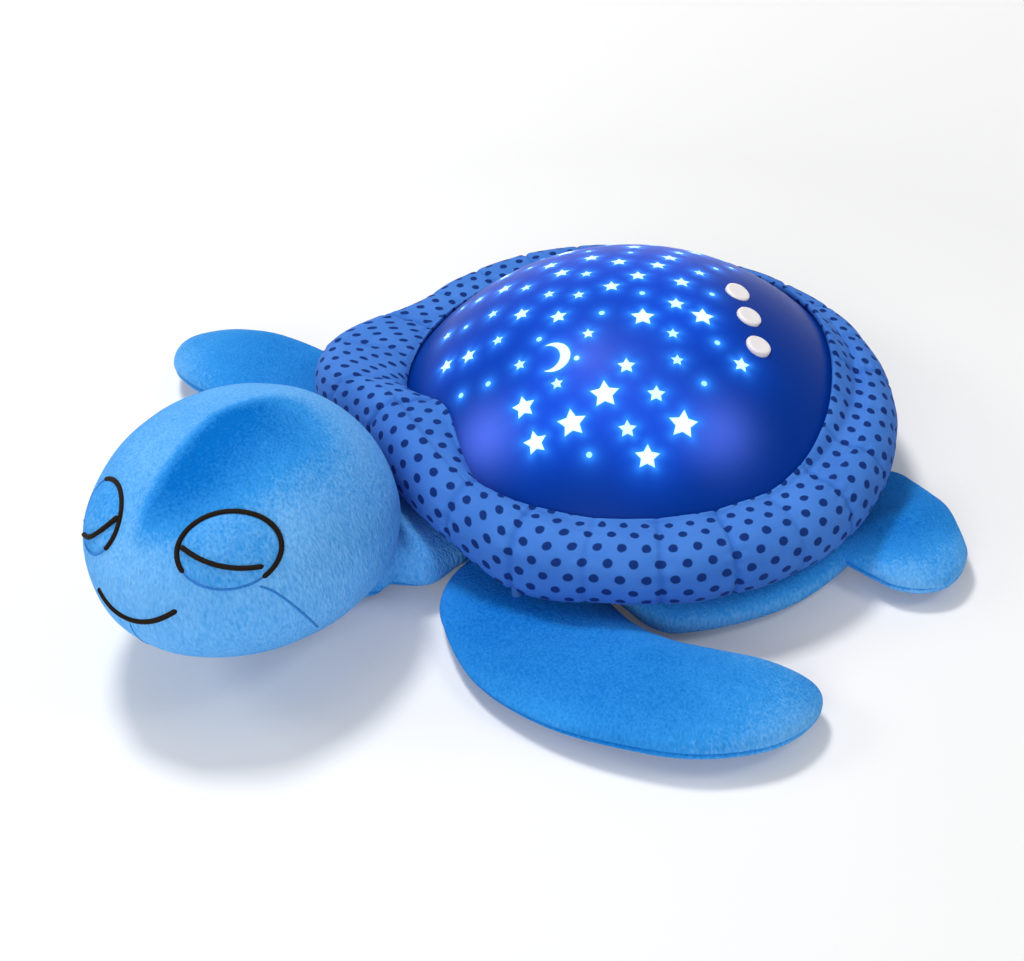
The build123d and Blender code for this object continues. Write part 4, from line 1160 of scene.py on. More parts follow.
@dataclass
class Belly:
    """Oval stuffed belly under the roll, round the pocket of the light unit."""

    side: float = 120.5
    ends: float = 112.0
    pocket_low: float = 69.5
    pocket_high: float = 75.0
    pocket_top: float = 36.0
    clearance: float = 0.7
    smoothing: int = 3
    rows: int = 90
    columns: int = 320
    # Section round the cushion: share of the way from the pocket to the edge, and height.
    section: tuple[tuple[float, float], ...] = (
        (0.0, 1.2), (0.12, 0.3), (0.45, 0.25), (0.72, 0.3), (0.86, 1.0), (0.945, 2.8), (0.985, 5.0),
        (1.0, 8.0), (0.985, 10.6), (0.95, 12.6), (0.88, 14.2), (0.74, 15.0), (0.45, 15.2), (0.2, 19.0),
        (0.1, 34.0), (0.03, 36.0))
    # Lumps of the filling: share of the reach, size and seed.
    lump: tuple[float, float, float] = (0.004, 26.0, 11.0)
    # Painted shade: its level at the foot, the painted shade under the roll, and the heights between.
    painted_shade: tuple[float, float] = (0.62, 0.25)
    painted_shade_heights: tuple[float, float] = (9.0, 15.0)

    def outline(self, turn: Array, swept: Array) -> Array:
        """Works out how far the belly reaches at each bearing, clear of the swinging flippers.

        Args:
            turn: Bearings, in radians.
            swept: Plan points of the flippers' edges over their swing.

        Returns:
            Distance of the belly's edge from the middle.
        """
        oval = 1 / np.sqrt((np.cos(turn) / self.side) ** 2 + (np.sin(turn) / self.ends) ** 2)
        bearing = np.arctan2(swept[:, 1], swept[:, 0]) / (2 * np.pi)
        column = np.round(bearing * len(turn)).astype(int) % len(turn)
        np.minimum.at(oval, column, np.linalg.norm(swept, axis=1) - self.clearance)
        near = range(-self.smoothing, self.smoothing + 1)
        drawn_in = np.min([np.roll(oval, k) for k in near], axis=0)
        return np.mean([np.roll(drawn_in, k) for k in near], axis=0)

    def build(self, cloth: bpy.types.Material, swept: Array) -> bpy.types.Object:
        """Builds the belly and puts it on the body.

        Args:
            cloth: Plush finish.
            swept: Plan points of the flippers' edges over their swing.

        Returns:
            The belly.
        """
        turn = np.linspace(0, 2 * np.pi, self.columns, endpoint=False)
        oval = self.outline(turn, swept)
        stops = range(len(self.section))
        shares, heights = np.array(self.section).T
        grow = np.linspace(0, stops[-1], self.rows)
        share, z = hermite(grow, stops, shares), hermite(grow, stops, heights)
        inner = self.pocket_low + (self.pocket_high - self.pocket_low) * z / self.pocket_top
        reach = inner[:, None] + share[:, None] * (oval[None] - inner[:, None])
        level = np.broadcast_to(z[:, None], reach.shape)
        points = np.stack([reach * np.cos(turn), reach * np.sin(turn), level], -1)
        height, size, seed = self.lump
        points[..., :2] *= 1 + height * lumps(points, size, seed)[..., None] * share[:, None, None]
        faces = grid_faces(self.rows, self.columns, True, True).tolist()
        piece = finish_mesh("belly_plush", points.reshape(-1, 3), faces, cloth)
        # Painted shade: darker under the roll, where its shadow falls.
        foot, loss = self.painted_shade
        paint(piece, "painted_shade", np.repeat(foot - loss * smooth_step(z, *self.painted_shade_heights), self.columns))
        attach(piece, "body")
        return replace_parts(piece, "belly")


@dataclass
class Flipper:
    """Stuffed flipper of two panels, sewn together round its edge."""

    name: str
    node: str
    body: str
    side: Side
    place: tuple[float, float]
    heading: float
    length: float
    bend: float
    root: float
    # Stations along it: share of the length, half width, half thickness and height of the middle.
    stations: tuple[tuple[float, float, float, float], ...]
    hump: float = 0.0
    swing: float = 0.0
    joint_range: float = 33.2
    joint_steps: int = 12
    tip_from: float = 0.8
    # Rings of the root, the span and the tip, the tip's share, and the angles kept off both ends.
    rings: tuple[int, int, int] = (26, 96, 40)
    tip_share: float = 0.14
    end_angles: tuple[float, float] = (0.06, 0.05)
    columns: int = 128
    # How fast the thickness fills out at the root, at the tip and across.
    root_fill: tuple[float, float] = (1.6, 0.8)
    tip_fill: float = 0.9
    cross_fill: float = 0.92
    # Seam round the edge: drop below the middle, width, depth, and most share of the half width.
    seam_drop: float = 0.08
    seam_width: float = 0.07
    seam_depth: float = 1.3
    seam_share: float = 0.3
    # Lumps of the filling: height, size, and the half thickness where they show in full.
    lump: tuple[float, float, float] = (0.8, 24.0, 8.0)
    # Least height over the floor, in the middle and how much more at the edge.
    floor: tuple[float, float] = (0.4, 0.3)
    # Painted shade level in the middle, and painted light that brightens the edges as a sheen.
    painted_shade_middle: float = 0.2
    painted_edge_light: float = 0.22
    # Painted shade at the root, painted light at the tip, the shares of the length between, and painted seam
    # shade.
    painted_root_shade: tuple[float, float, float] = (0.12, 0.0, 0.35)
    painted_tip_light: tuple[float, float, float] = (0.38, 0.5, 0.95)
    painted_seam_shade: float = 0.4
    seed: float = 1.0

    def spine(self) -> tuple[Array, Array, Array, Array, Array, Array]:
        """Works out the flipper's middle line, before it is mirrored and swung.

        Returns:
            Length run, half width, tip rounding, heading, and x and y of each section.
        """
        shares, widths = np.array(self.stations).T[:2]
        root, span, tip = self.rings
        root_angles = np.linspace(self.end_angles[0], np.pi / 2, root, endpoint=False)
        tip_angles = np.linspace(0, np.pi / 2 - self.end_angles[1], tip)
        run = np.concatenate([
            -self.root * np.cos(root_angles),
            np.linspace(0, (1 - self.tip_share) * self.length, span, endpoint=False),
            self.length * (1 - self.tip_share * (1 - np.sin(tip_angles)))])
        share = run / self.length
        blunt = np.sqrt(1 - np.clip((share - self.tip_from) / (1 - self.tip_from), 0, 1) ** 2)
        wide = np.where(run < 0, np.sqrt(np.maximum(self.root**2 - run**2, 0.0)) * widths[0] / self.root,
                        hermite(share, shares, widths) * blunt)
        start = math.radians(self.heading)
        turn, x, y = start + 0 * run, run * math.cos(start), run * math.sin(start)
        if self.bend > 0:
            turn = start + np.where(run > 0, run / self.bend, 0.0)
            x = np.where(run > 0, self.bend * (np.sin(turn) - math.sin(start)), x)
            y = np.where(run > 0, -self.bend * (np.cos(turn) - math.cos(start)), y)
        return run, wide, blunt, turn, self.place[0] + x, self.place[1] + y

    def placed(self, plan: Array, swing: float) -> Array:
        """Mirrors plan points to the flipper's side and swings them about its shoulder.

        Args:
            plan: Points from the spine, x and y.
            swing: Turn in degrees.

        Returns:
            Points in the frame.
        """
        a = math.radians(swing)
        away = (plan - np.array(self.place)) * [self.side.value, 1]
        centre = np.array([self.side.value * self.place[0], self.place[1]])
        return centre + away @ np.array([[math.cos(a), math.sin(a)], [-math.sin(a), math.cos(a)]])

    def sweep(self) -> Array:
        """Works out where the flipper's edges go.

        Returns:
            Plan points of both edges over the joint's range.
        """
        _, wide, _, turn, x, y = self.spine()
        edges = np.concatenate([np.stack([x + np.sin(turn) * w, y - np.cos(turn) * w], -1)
                                for w in (wide, -wide)])
        swings = self.swing + np.linspace(-self.joint_range, 0.0, self.joint_steps)
        return np.concatenate([self.placed(edges, swing) for swing in swings])

    def build(self, cloth: bpy.types.Material) -> bpy.types.Object:
        """Builds the flipper and puts it on its body.

        Args:
            cloth: Plush finish.

        Returns:
            The flipper.
        """
        run, wide, blunt, turn, x, y = self.spine()
        shares, widths, thick, middle = np.array(self.stations).T
        share = run / self.length
        along = np.clip(share, 0, 1)
        steep, power = self.root_fill
        root_end = np.clip(wide / widths[0] * steep, 0.0, 1.0) ** power
        half = hermite(along, shares, thick) * np.where(run < 0, root_end, blunt**self.tip_fill)
        z = hermite(along, shares, middle) + self.hump * np.sin(np.pi * along) ** 2
        angle = np.linspace(0, 2 * np.pi, self.columns, endpoint=False)
        edge = np.cos(angle)
        seam = np.exp(-((np.abs(np.sin(angle) + self.seam_drop) / self.seam_width) ** 2)) * np.abs(edge)
        inset = np.minimum(self.seam_depth, self.seam_share * wide)[:, None] * seam[None]
        over = edge[None] * (wide[:, None] - inset)
        up = np.sign(np.sin(angle)) * np.abs(np.sin(angle)) ** self.cross_fill
        points = np.stack([x[:, None] + np.sin(turn)[:, None] * over,
                           y[:, None] - np.cos(turn)[:, None] * over,
                           z[:, None] + up[None] * half[:, None]], -1)
        height, size, full = self.lump
        filled = np.abs(up)[None] * np.clip(half / full, 0, 1)[:, None]
        points[..., 2] += height * lumps(points, size, self.seed) * filled
        least, edge_more = self.floor
        points[..., 2] = np.maximum(points[..., 2], least + edge_more * np.abs(edge)[None])
        points[..., :2] = self.placed(points[..., :2], self.swing)
        # Painted shade: darker at the root and in the seam, lighter at the tip and along the edges.
        lost, *root_span = self.painted_root_shade
        gained, *tip_span = self.painted_tip_light
        ends = gained * smooth_step(share, *tip_span) - lost * (1 - smooth_step(share, *root_span))
        across = self.painted_shade_middle + self.painted_edge_light * np.abs(edge) ** 3 - self.painted_seam_shade * seam
        painted_shade = across[None] + ends[:, None]
        vertices, faces = closed_loft(points)
        piece = finish_mesh(self.name, vertices, faces, cloth)
        paint(piece, "painted_shade", np.concatenate([painted_shade.ravel(), painted_shade[0, :1], painted_shade[-1, :1]]))
        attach(piece, self.body)
        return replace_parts(piece, self.node)


FRONT_STATIONS = (
    (0.0, 30.5, 6.7, 7.9), (0.16, 32.4, 6.9, 8.0), (0.34, 29.8, 8.8, 9.6), (0.52, 26.4, 11.0, 11.6),
    (0.70, 24.4, 11.2, 12.0), (0.84, 20.8, 10.0, 11.6), (1.0, 16.8, 8.6, 10.6))
REAR_STATIONS = (
    (0.0, 28.5, 6.2, 7.6), (0.2, 30.5, 6.5, 7.9), (0.42, 29.0, 9.2, 10.0), (0.67, 23.8, 9.2, 10.2),
    (1.0, 14.5, 7.4, 9.6))
SHOULDER = (66.89, -92.07)
HIP = (84.03, 61.95)


@dataclass
class Head:
    """Stuffed head, turned to the turtle's left, with embroidered sleeping eyes and a smile."""

    pivot_y: float = -159.39
    reach: float = 21.7
    turn: float = 33.0
    half_width: float = 54.0
    half_length: float = 60.0
    half_height: float = 47.6
    z: float = 50.0
    cuts: int = 84
    # Bumps of the muzzle, the chin and the cheeks: height, yaw, pitch and spread in degrees.
    bumps: tuple[tuple[float, float, float, float], ...] = (
        (1.6, 0.0, -10.0, 26.0), (-6.0, 0.0, -56.0, 40.0),
        (3.4, 116.0, -14.0, 30.0), (3.4, -116.0, -14.0, 30.0))
    # Crest over the top: its place, its slant towards the neck, and where it starts and fades.
    crest_at: float = -2.0
    crest_slant: float = 0.35
    crest_heights: tuple[float, float] = (20.0, 41.0)
    crest_fade: tuple[float, float] = (4.0, 40.0)
    # Crest and the hollows beside it: height, place from the crest and width.
    crest_folds: tuple[tuple[float, float, float], ...] = (
        (1.3, 0.0, 4.0), (-1.2, 17.0, 11.0), (-0.7, -17.0, 11.0))
    # Where the stuffing gives under the chin: height over the lowest point, and softness.
    chin_rise: float = 2.6
    chin_soft: float = 3.0
    # Lumps of the filling: height, size and seed.
    lump: tuple[float, float, float] = (0.5, 21.0, 5.0)
    # Painted shade: plain level, and its darkening beside the crest on the left and on the right.
    painted_shade_plain: float = 0.78
    painted_shade_left: float = 0.84
    painted_shade_right: float = 0.08
    shade_heights: tuple[float, float] = (23.0, 43.0)
    shade_reach: float = 31.0
    shade_start: tuple[float, float] = (-6.0, 5.0)
    shade_right: tuple[float, float] = (0.0, 8.0)
    eye_bearing: dict[Side, float] = field(default_factory=lambda: {Side.LEFT: 37.5, Side.RIGHT: -31.0})
    eye_pitch: dict[Side, float] = field(default_factory=lambda: {Side.LEFT: 29.0, Side.RIGHT: 27.0})
    eye_size: dict[Side, tuple[float, float]] = field(
        default_factory=lambda: {Side.LEFT: (17.3, 13.0), Side.RIGHT: (14.8, 12.7)})
    eye_rim: dict[Side, tuple[float, float]] = field(
        default_factory=lambda: {Side.LEFT: (-56.0, 204.0), Side.RIGHT: (42.0, 202.0)})
    # First, middle and last point of the lid's curve, as shares of the eye's size.
    eye_lid: dict[Side, tuple[tuple[float, float], ...]] = field(default_factory=lambda: {
        Side.LEFT: ((-0.9, 0.28), (-0.3, -0.5), (0.6, -0.52)),
        Side.RIGHT: ((-0.8, 0.6), (-0.45, -0.62), (0.2, -0.74))})
    # Eye patch: share of the eye, rings, columns, least rise, crown, tuck at the edge and depth below.
    patch_share: float = 0.97
    patch_rings: int = 26
    patch_columns: int = 72
    patch_rise: float = 0.15
    patch_crown: float = 0.75
    patch_tuck: float = 0.5
    patch_depth: float = 1.2
    patch_nap: float = 0.6
    # Cheek seam: bearing of its plane, and terms of its curve across and up.
    cheek_bearing: float = 58.0
    cheek_across: tuple[float, float, float] = (-11.0, 16.0, 2.0)
    cheek_up: tuple[float, float, float] = (14.0, -8.0, -24.0)
    # Smile: half width, place of its lowest point, and curve.
    smile_half: float = 17.2
    smile_low: tuple[float, float] = (-2.0, 1.4)
    smile_curve: float = 0.0215
    chin_seam: tuple[tuple[float, float], tuple[float, float]] = ((-2.0, -1.0), (-5.0, -34.0))
    ray_start: float = 120.0

    def to_row(self, local: Array) -> Array:
        """Takes points from the head's own frame, about its middle, to the shared frame.

        Args:
            local: Points in the head's own frame.

        Returns:
            Points in the shared frame.
        """
        a = math.radians(self.turn)
        moved = local + np.array([0.0, -self.reach, self.z])
        spun = moved @ np.array([[math.cos(a), math.sin(a), 0], [-math.sin(a), math.cos(a), 0], [0, 0, 1]])
        return spun + np.array([0.0, self.pivot_y, 0.0])

    @staticmethod
    def aim(yaw: float, pitch: float) -> Array:
        """Unit direction from the head's middle, by yaw to its left and pitch in degrees."""
        y, p = np.radians([yaw, pitch])
        return np.array([np.sin(y) * np.cos(p), -np.cos(y) * np.cos(p), np.sin(p)])

    def form(self, way: Array) -> tuple[Array, Array]:
        """Shape of the stuffed head.

        Args:
            way: Unit directions from its middle, in its own frame.

        Returns:
            Points in its own frame, and their painted shade.
        """
        axes = np.array([self.half_width, self.half_length, self.half_height])
        reach = 1 / np.linalg.norm(way / axes, axis=1)
        for height, yaw, pitch, spread in self.bumps:
            angle = np.degrees(np.arccos(np.clip(way @ self.aim(yaw, pitch), -1, 1)))
            reach = reach + height * np.exp(-((angle / spread) ** 2))
        points = way * reach[:, None]
        off = points[:, 0] - (self.crest_at + self.crest_slant * np.maximum(points[:, 1], 0.0))
        fade = 1 - smooth_step(points[:, 1], *self.crest_fade)
        top = smooth_step(points[:, 2], *self.crest_heights) * fade
        ridge = sum(height * np.exp(-(((off - at) / width) ** 2)) for height, at, width in self.crest_folds)
        points = points + way * (ridge * top)[:, None]
        knee, soft = -self.half_height + self.chin_rise + self.chin_soft, self.chin_soft
        z = points[:, 2]
        points[:, 2] = np.where(z < knee, knee - soft * np.tanh((knee - z) / soft), z)
        height, size, seed = self.lump
        points += way * (height * lumps(points, size, seed))[:, None]
        # Painted shade beside the crest, where the pile lies over and turns from the light.
        fade = 1 - smooth_step(points[:, 1], *self.crest_fade)
        high = smooth_step(points[:, 2], *self.shade_heights) * fade
        left = np.exp(-((np.maximum(off, 0) / self.shade_reach) ** 2)) * smooth_step(off, *self.shade_start)
        right = smooth_step(-off, *self.shade_right)
        return points, self.painted_shade_plain - self.painted_shade_left * high * left - self.painted_shade_right * top * right

    def build_skin(self, cloth: bpy.types.Material) -> bpy.types.Object:
        """Builds the head's cover.

        Args:
            cloth: Plush finish.

        Returns:
            The cover.
        """
        work = bmesh.new()
        bmesh.ops.create_cube(work, size=2.0)
        bmesh.ops.subdivide_edges(work, edges=work.edges[:], cuts=self.cuts, use_grid_fill=True)
        way = np.array([v.co for v in work.verts])
        way = np.tan(way * np.pi / 4)
        way /= np.linalg.norm(way, axis=1)[:, None]
        work.verts.index_update()
        faces = [[v.index for v in f.verts] for f in work.faces]
        work.free()
        points, painted_shade = self.form(way)
        piece = finish_mesh("head_plush", self.to_row(points), faces, cloth)
        paint(piece, "painted_shade", painted_shade)
        return piece

    def laid(self, tree: BVHTree, bearing: float, pitch: float, flat: Array) -> tuple[Array, Array]:
        """Lays a flat line on the face, seen from straight in front of it.

        Args:
            tree: Search tree of the head's cover.
            bearing: Direction of the flat plane, to the turtle's left.
            pitch: Rise of that direction.
            flat: Points of the line, across and up, in millimetres.

        Returns:
            Points on the cover, and the normals there.
        """
        out, b = self.aim(bearing, pitch), math.radians(bearing)
        across = np.array([math.cos(b), math.sin(b), 0.0])
        up = np.cross(out, across)
        points, normals = [], []
        for x, y in flat:
            start = self.to_row(np.array([across * x + up * y + out * self.ray_start]))[0]
            end = self.to_row(np.array([across * x + up * y]))[0]
            spot, normal, _, _ = tree.ray_cast(Vector(start * MM), Vector(end - start))
            points.append(np.array(spot) / MM)
            normals.append(np.array(normal))
        return np.array(points), np.array(normals)

    def build_patch(self, tree: BVHTree, side: Side, cloth: bpy.types.Material) -> bpy.types.Object:
        """Builds one smooth eye patch, slightly domed and tucked in at its edge.

        Args:
            tree: Search tree of the head's cover.
            side: Side of the head.
            cloth: Plush finish.

        Returns:
            The patch.
        """
        rings = np.linspace(0.03, 1.0, self.patch_rings)
        turn = np.linspace(0, 2 * np.pi, self.patch_columns, endpoint=False)
        grid = (len(rings), len(turn), 3)
        size = self.patch_share * np.array(self.eye_size[side])
        flat = rings[:, None, None] * np.stack([np.cos(turn), np.sin(turn)], -1) * size
        points, normals = self.laid(tree, self.eye_bearing[side], self.eye_pitch[side], flat.reshape(-1, 2))
        crown = self.patch_crown * (1 - rings**4) ** 0.8
        rise = np.repeat(self.patch_rise + crown - self.patch_tuck * smooth_step(rings, 0.96, 1.0), len(turn))
        top = (points + normals * rise[:, None]).reshape(grid)
        under = (points - normals * self.patch_depth).reshape(grid)[::-5]
        name = f"eye_patch_{side.name.lower()}"
        piece = finish_mesh(f"{name}_plush", *closed_loft(np.concatenate([top, under])), cloth)
        paint(piece, "painted_shade", np.full(len(piece.data.vertices), self.patch_nap))
        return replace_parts(piece, name)

    def eye_lines(self, side: Side) -> tuple[Array, Array, Array]:
        """Draws one sleeping eye flat, across and up from its middle.

        Args:
            side: Side of the head.

        Returns:
            Points of its rim, of its lid and of the patch's tucked edge.
        """
        width, height = self.eye_size[side]
        size = np.array([side.value * width, height])
        first, last = self.eye_rim[side]
        around = np.radians(np.linspace(first, last, 90))
        rim = np.stack([np.cos(around), np.sin(around)], -1) * size
        t = np.linspace(0, 1, 44)[:, None]
        a, b, c = np.array(self.eye_lid[side])
        lid = ((1 - t) ** 2 * a + 2 * t * (1 - t) * b + t**2 * c) * size
        below = np.radians(np.linspace(last, first + 360, 50))
        tuck = np.stack([np.cos(below), np.sin(below)], -1) * size
        return rim, lid, tuck

    def build_stitching(self, tree: BVHTree) -> list[bpy.types.Object]:
        """Builds the embroidered eyes, the smile and the cover's seam lines.

        Args:
            tree: Search tree of the head's cover.

        Returns:
            The lines of stitching.
        """
        brown, blue = STITCH.material(), SEAM.material()
        # Lines of an eye: width, height and lift over the cover.
        eye_threads = (("rim", 1.8, 0.9, 0.1, brown), ("lid", 1.9, 1.2, 0.75, brown),
                       ("tuck", 0.9, 0.35, 0.1, blue))
        t = np.linspace(0, 1, 60)
        terms = np.stack([np.ones_like(t), t, t**2])
        made = []
        for side in Side:
            name = side.name.lower()
            for flat, (key, width, height, lift, thread) in zip(self.eye_lines(side), eye_threads):
                points, normals = self.laid(tree, self.eye_bearing[side], self.eye_pitch[side], flat)
                points = points + normals * lift
                made.append(raised_line(f"eye_{key}_{name}", points, normals, width, height, thread))
            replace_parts(made[-len(eye_threads)], f"eye_stitching_{name}")
            cheek = np.stack([side.value * (self.cheek_across @ terms), self.cheek_up @ terms], -1)
            points, normals = self.laid(tree, side.value * self.cheek_bearing, 0.0, cheek)
            made.append(raised_line(f"cheek_seam_{name}", points, normals, 0.9, 0.3, blue))
        x = np.linspace(-self.smile_half, self.smile_half, 70)
        low_x, low_y = self.smile_low
        smile = np.stack([x, low_y + self.smile_curve * (x - low_x) ** 2], -1)
        points, normals = self.laid(tree, 0.0, 0.0, smile)
        made.append(raised_line("mouth_smile", points, normals, 2.0, 1.0, brown))
        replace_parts(made[-1], "mouth_stitching")
        points, normals = self.laid(tree, 0.0, 0.0, np.linspace(*self.chin_seam, 30))
        made.append(raised_line("chin_seam", points, normals, 0.8, 0.25, blue))
        return made

    def build(self, cloth: bpy.types.Material) -> list[bpy.types.Object]:
        """Builds the head with its face and puts it on its body.

        Args:
            cloth: Plush finish.

        Returns:
            The head's pieces.
        """
        skin = self.build_skin(cloth)
        mesh = skin.data
        tree = BVHTree.FromPolygons([v.co for v in mesh.vertices], [list(p.vertices) for p in mesh.polygons])
        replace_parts(skin, "head")
        patches = [self.build_patch(tree, side, cloth) for side in Side]
        stitching = self.build_stitching(tree)
        pieces = [skin, *patches, *stitching]
        for piece in pieces:
            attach(piece, "head")
        return pieces


@dataclass
class Neck:
    """Short stuffed neck that bends between the body and the turned head."""

    back_y: float = -98.0
    front_y: float = -166.0
    pivot_y: float = -159.39
    turn: float = 33.0
    bend_shares: tuple[float, float] = (0.15, 0.95)
    # Half widths, tops and bottoms at shares of its length, from the body to the head.
    shares: tuple[float, ...] = (0.0, 0.15, 0.29, 0.68, 0.94, 1.0)
    lefts: tuple[float, ...] = (33.5, 38.0, 43.0, 44.6, 33.5, 22.0)
    rights: tuple[float, ...] = (30.0, 33.0, 37.0, 37.0, 28.0, 20.0)
    tops: tuple[float, ...] = (22.0, 25.0, 28.0, 36.0, 38.0, 36.0)
    bottoms: tuple[float, ...] = (0.8, 0.6, 0.6, 0.8, 2.5, 10.0)
    squareness: float = 0.55
    rings: int = 64
    columns: int = 132
    # Seams along its lower sides: drop below the middle, width and depth.
    seam: tuple[float, float, float] = (0.55, 0.05, 0.9)
    # Lumps of the filling: height, size and seed, and how they show along each axis.
    lump: tuple[float, float, float] = (0.5, 18.0, 8.0)
    lump_way: tuple[float, float, float] = (1.0, 0.0, 0.4)
    floor: float = 0.6
    # Painted shade: plain level, its darkening in the seams, and level at the ends.
    painted_shade: float = 0.62
    painted_seam_shade: float = 0.35
    painted_shade_ends: float = 0.6

    def build(self, cloth: bpy.types.Material) -> bpy.types.Object:
        """Builds the neck, bent between the body and the turned head.

        Args:
            cloth: Plush finish.

        Returns:
            The neck.
        """
        t = np.linspace(0, 1, self.rings)
        angle = np.linspace(0, 2 * np.pi, self.columns, endpoint=False)
        left, right, top, bottom = [hermite(t, self.shares, values)[:, None]
                                    for values in (self.lefts, self.rights, self.tops, self.bottoms)]
        tall = (top - bottom) / 2
        drop, width, depth = self.seam
        seam = np.exp(-((np.abs(np.sin(angle) + drop) / width) ** 2))
        across = np.sign(np.cos(angle)) * np.abs(np.cos(angle)) ** self.squareness
        x = across[None] * (np.where(across > 0, left, right) - depth * seam[None])
        z = bottom + tall + np.sin(angle)[None] * tall
        behind = (self.back_y + (self.front_y - self.back_y) * t - self.pivot_y)[:, None]
        bend = np.radians(self.turn) * smooth_step(t, *self.bend_shares)[:, None]
        points = np.stack([x * np.cos(bend) - behind * np.sin(bend),
                           x * np.sin(bend) + behind * np.cos(bend) + self.pivot_y, z], -1)
        height, size, seed = self.lump
        points += height * lumps(points, size, seed)[..., None] * np.array(self.lump_way)
        points[..., 2] = np.maximum(points[..., 2], self.floor)
        vertices, faces = closed_loft(points)
        piece = finish_mesh("neck_plush", vertices, faces, cloth)
        # Painted shade: darker in the seams along the lower sides.
        painted_shade = np.tile(self.painted_shade - self.painted_seam_shade * seam, self.rings)
        paint(piece, "painted_shade", np.concatenate([painted_shade, [self.painted_shade_ends, self.painted_shade_ends]]))
        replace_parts(piece, "neck")
        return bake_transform(piece)


# Hard parts under and inside the toy
HARD_FINISHES: tuple[tuple[Moulded, tuple[str, ...]], ...] = (
    # ABS from a spark-eroded tool: an even, matt white with a fine grain.
    (Moulded("abs_white_spark_eroded_moulded", "#F1F1EF", "#E6E6E4", 0.5), ("base_tray", "battery_door")),
    # Zinc plate on steel: a cool grey shine, a little cloudy.
    (Moulded("steel_zinc_plated", "#C9CBCE", "#A9ABB0", 0.34, 1.0, 0.5),
     ("dome_screws", "battery_door_screw", "main_board_screws", "button_board_screws")),
    # Nickel plate on spring steel: a warmer and brighter shine.
    (Moulded("spring_steel_nickel_plated", "#D9D4C8", "#BFB9AC", 0.26, 1.0, 0.5),
     ("contacts_left", "contacts_right")),
    # Solder mask on glass epoxy: deep green with a soft gloss.
    (Moulded("glass_epoxy_green_solder_mask", "#1F6B3A", "#17552E", 0.38), ("main_board", "button_board")),
    # Transfer-moulded epoxy: nearly black and matt.
    (Moulded("epoxy_black_transfer_moulded", "#1B1B1D", "#141416", 0.5),
     ("timer_chip", "switch_1", "switch_2", "switch_3")),
    # Shrunk sleeve: a tight, dark skin with a smooth gloss.
    (Moulded("pvc_sleeve_navy_shrunk", "#1B2340", "#141A30", 0.35), ("capacitor",)),
    # Extruded insulation: plain colour with a waxy gloss along the wire.
    (Moulded("pvc_insulation_red_extruded", "#B3201C", "#96180F", 0.45), ("battery_wire_red",)),
    (Moulded("pvc_insulation_black_extruded", "#1A1A1A", "#101010", 0.45), ("battery_wire_black",)),
    # Extruded ribbon: a flat, even grey.
    (Moulded("pvc_ribbon_grey_extruded", "#A3A6AB", "#8D9095", 0.5), ("button_ribbon",)),
    # Plain jacket on a steel can: grey with a dull metal sheen.
    (Moulded("steel_can_grey_jacket", "#7D8086", "#66696F", 0.32, 0.6),
     ("battery_1", "battery_2", "battery_3")),
    # Cast lens, lit: a glossy bead of colour that glows.
    (Moulded("epoxy_lens_blue_cast", "#3D6BFF", "#2B55E6", 0.15, glow=0.6), ("led_blue",)),
    (Moulded("epoxy_lens_green_cast", "#2FD86C", "#22B858", 0.15, glow=0.6), ("led_green",)),
    (Moulded("epoxy_lens_amber_cast", "#FFAF2E", "#E6971C", 0.15, glow=0.6), ("led_amber",)),
    # Moulded acetal: off-white with a slippery, soft gloss.
    (Moulded("acetal_white_moulded", "#E4E4E2", "#D6D6D4", 0.4),
     ("switch_plunger_1", "switch_plunger_2", "switch_plunger_3")),
    # Formed milky sheet, lit from below: a pale blue white that glows evenly.
    (Moulded("acrylic_sheet_milky_formed", "#E6F4FF", "#D9ECFA", 0.35, glow=0.8), ("star_liner",)),
    # Twisted thread: matt blue with deep grooves.
    (Moulded("nylon_thread_blue_twisted", "#3E78C4", "#2F63A8", 0.7, grit_mm=0.5, grit_depth_mm=0.15),
     ("shoulder_threads",)),
)
# Woven lining: a thin, even blue cloth with a slight rib.
LINING = Thread("polyester_woven_lining_blue", "#7FA6E2", thread_mm=0.8)


@dataclass
class LightUnit:
    """Hard parts of the light unit that keep their CAD shape, and the cloth pocket round it."""

    # Radius and height of the pocket's lower and upper edge.
    lining_low: tuple[float, float] = (69.0, 0.5)
    lining_high: tuple[float, float] = (74.4, 36.4)
    cloth_half: float = 0.35
    ripple: float = 0.12
    ripples: int = 24
    lining_rows: int = 30
    lining_columns: int = 180

    def dress(self) -> list[str]:
        """Gives each CAD node its finish.

        Returns:
            Names of the dressed nodes.
        """
        dressed = []
        for finish, names in HARD_FINISHES:
            material = finish.material()
            for name in names:
                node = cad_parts[name]
                node.data.materials.clear()
                node.data.materials.append(material)
                dressed.append(name)
        return dressed

    def build_lining(self) -> bpy.types.Object:
        """Builds the woven cloth pocket that the light unit sits in.

        Returns:
            The pocket's cloth.
        """
        (low_radius, low), (high_radius, high) = self.lining_low, self.lining_high
        turn = np.linspace(0, 2 * np.pi, self.lining_columns, endpoint=False)
        heights = np.linspace(low, high, self.lining_rows)
        share = (heights - heights[0]) / (heights[-1] - heights[0])
        wave = self.ripple * np.sin(turn * self.ripples)[None] * np.sin(np.pi * share)[:, None]
        level = np.broadcast_to(heights[:, None], wave.shape)
        faces_of_cloth = []
        for offset, order in ((self.cloth_half, 1), (-self.cloth_half, -1)):
            reach = (low_radius + (high_radius - low_radius) * share + offset)[:, None] + wave
            ring = np.stack([reach * np.cos(turn), reach * np.sin(turn), level], -1)
            faces_of_cloth.append(ring[::order])
        points = np.concatenate(faces_of_cloth)
        faces = grid_faces(len(points), self.lining_columns, True, True).tolist()
        piece = finish_mesh("pocket_cloth", points.reshape(-1, 3), faces, LINING.material(), sharp=60)
        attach(piece, "body")
        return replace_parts(piece, "pocket_lining")


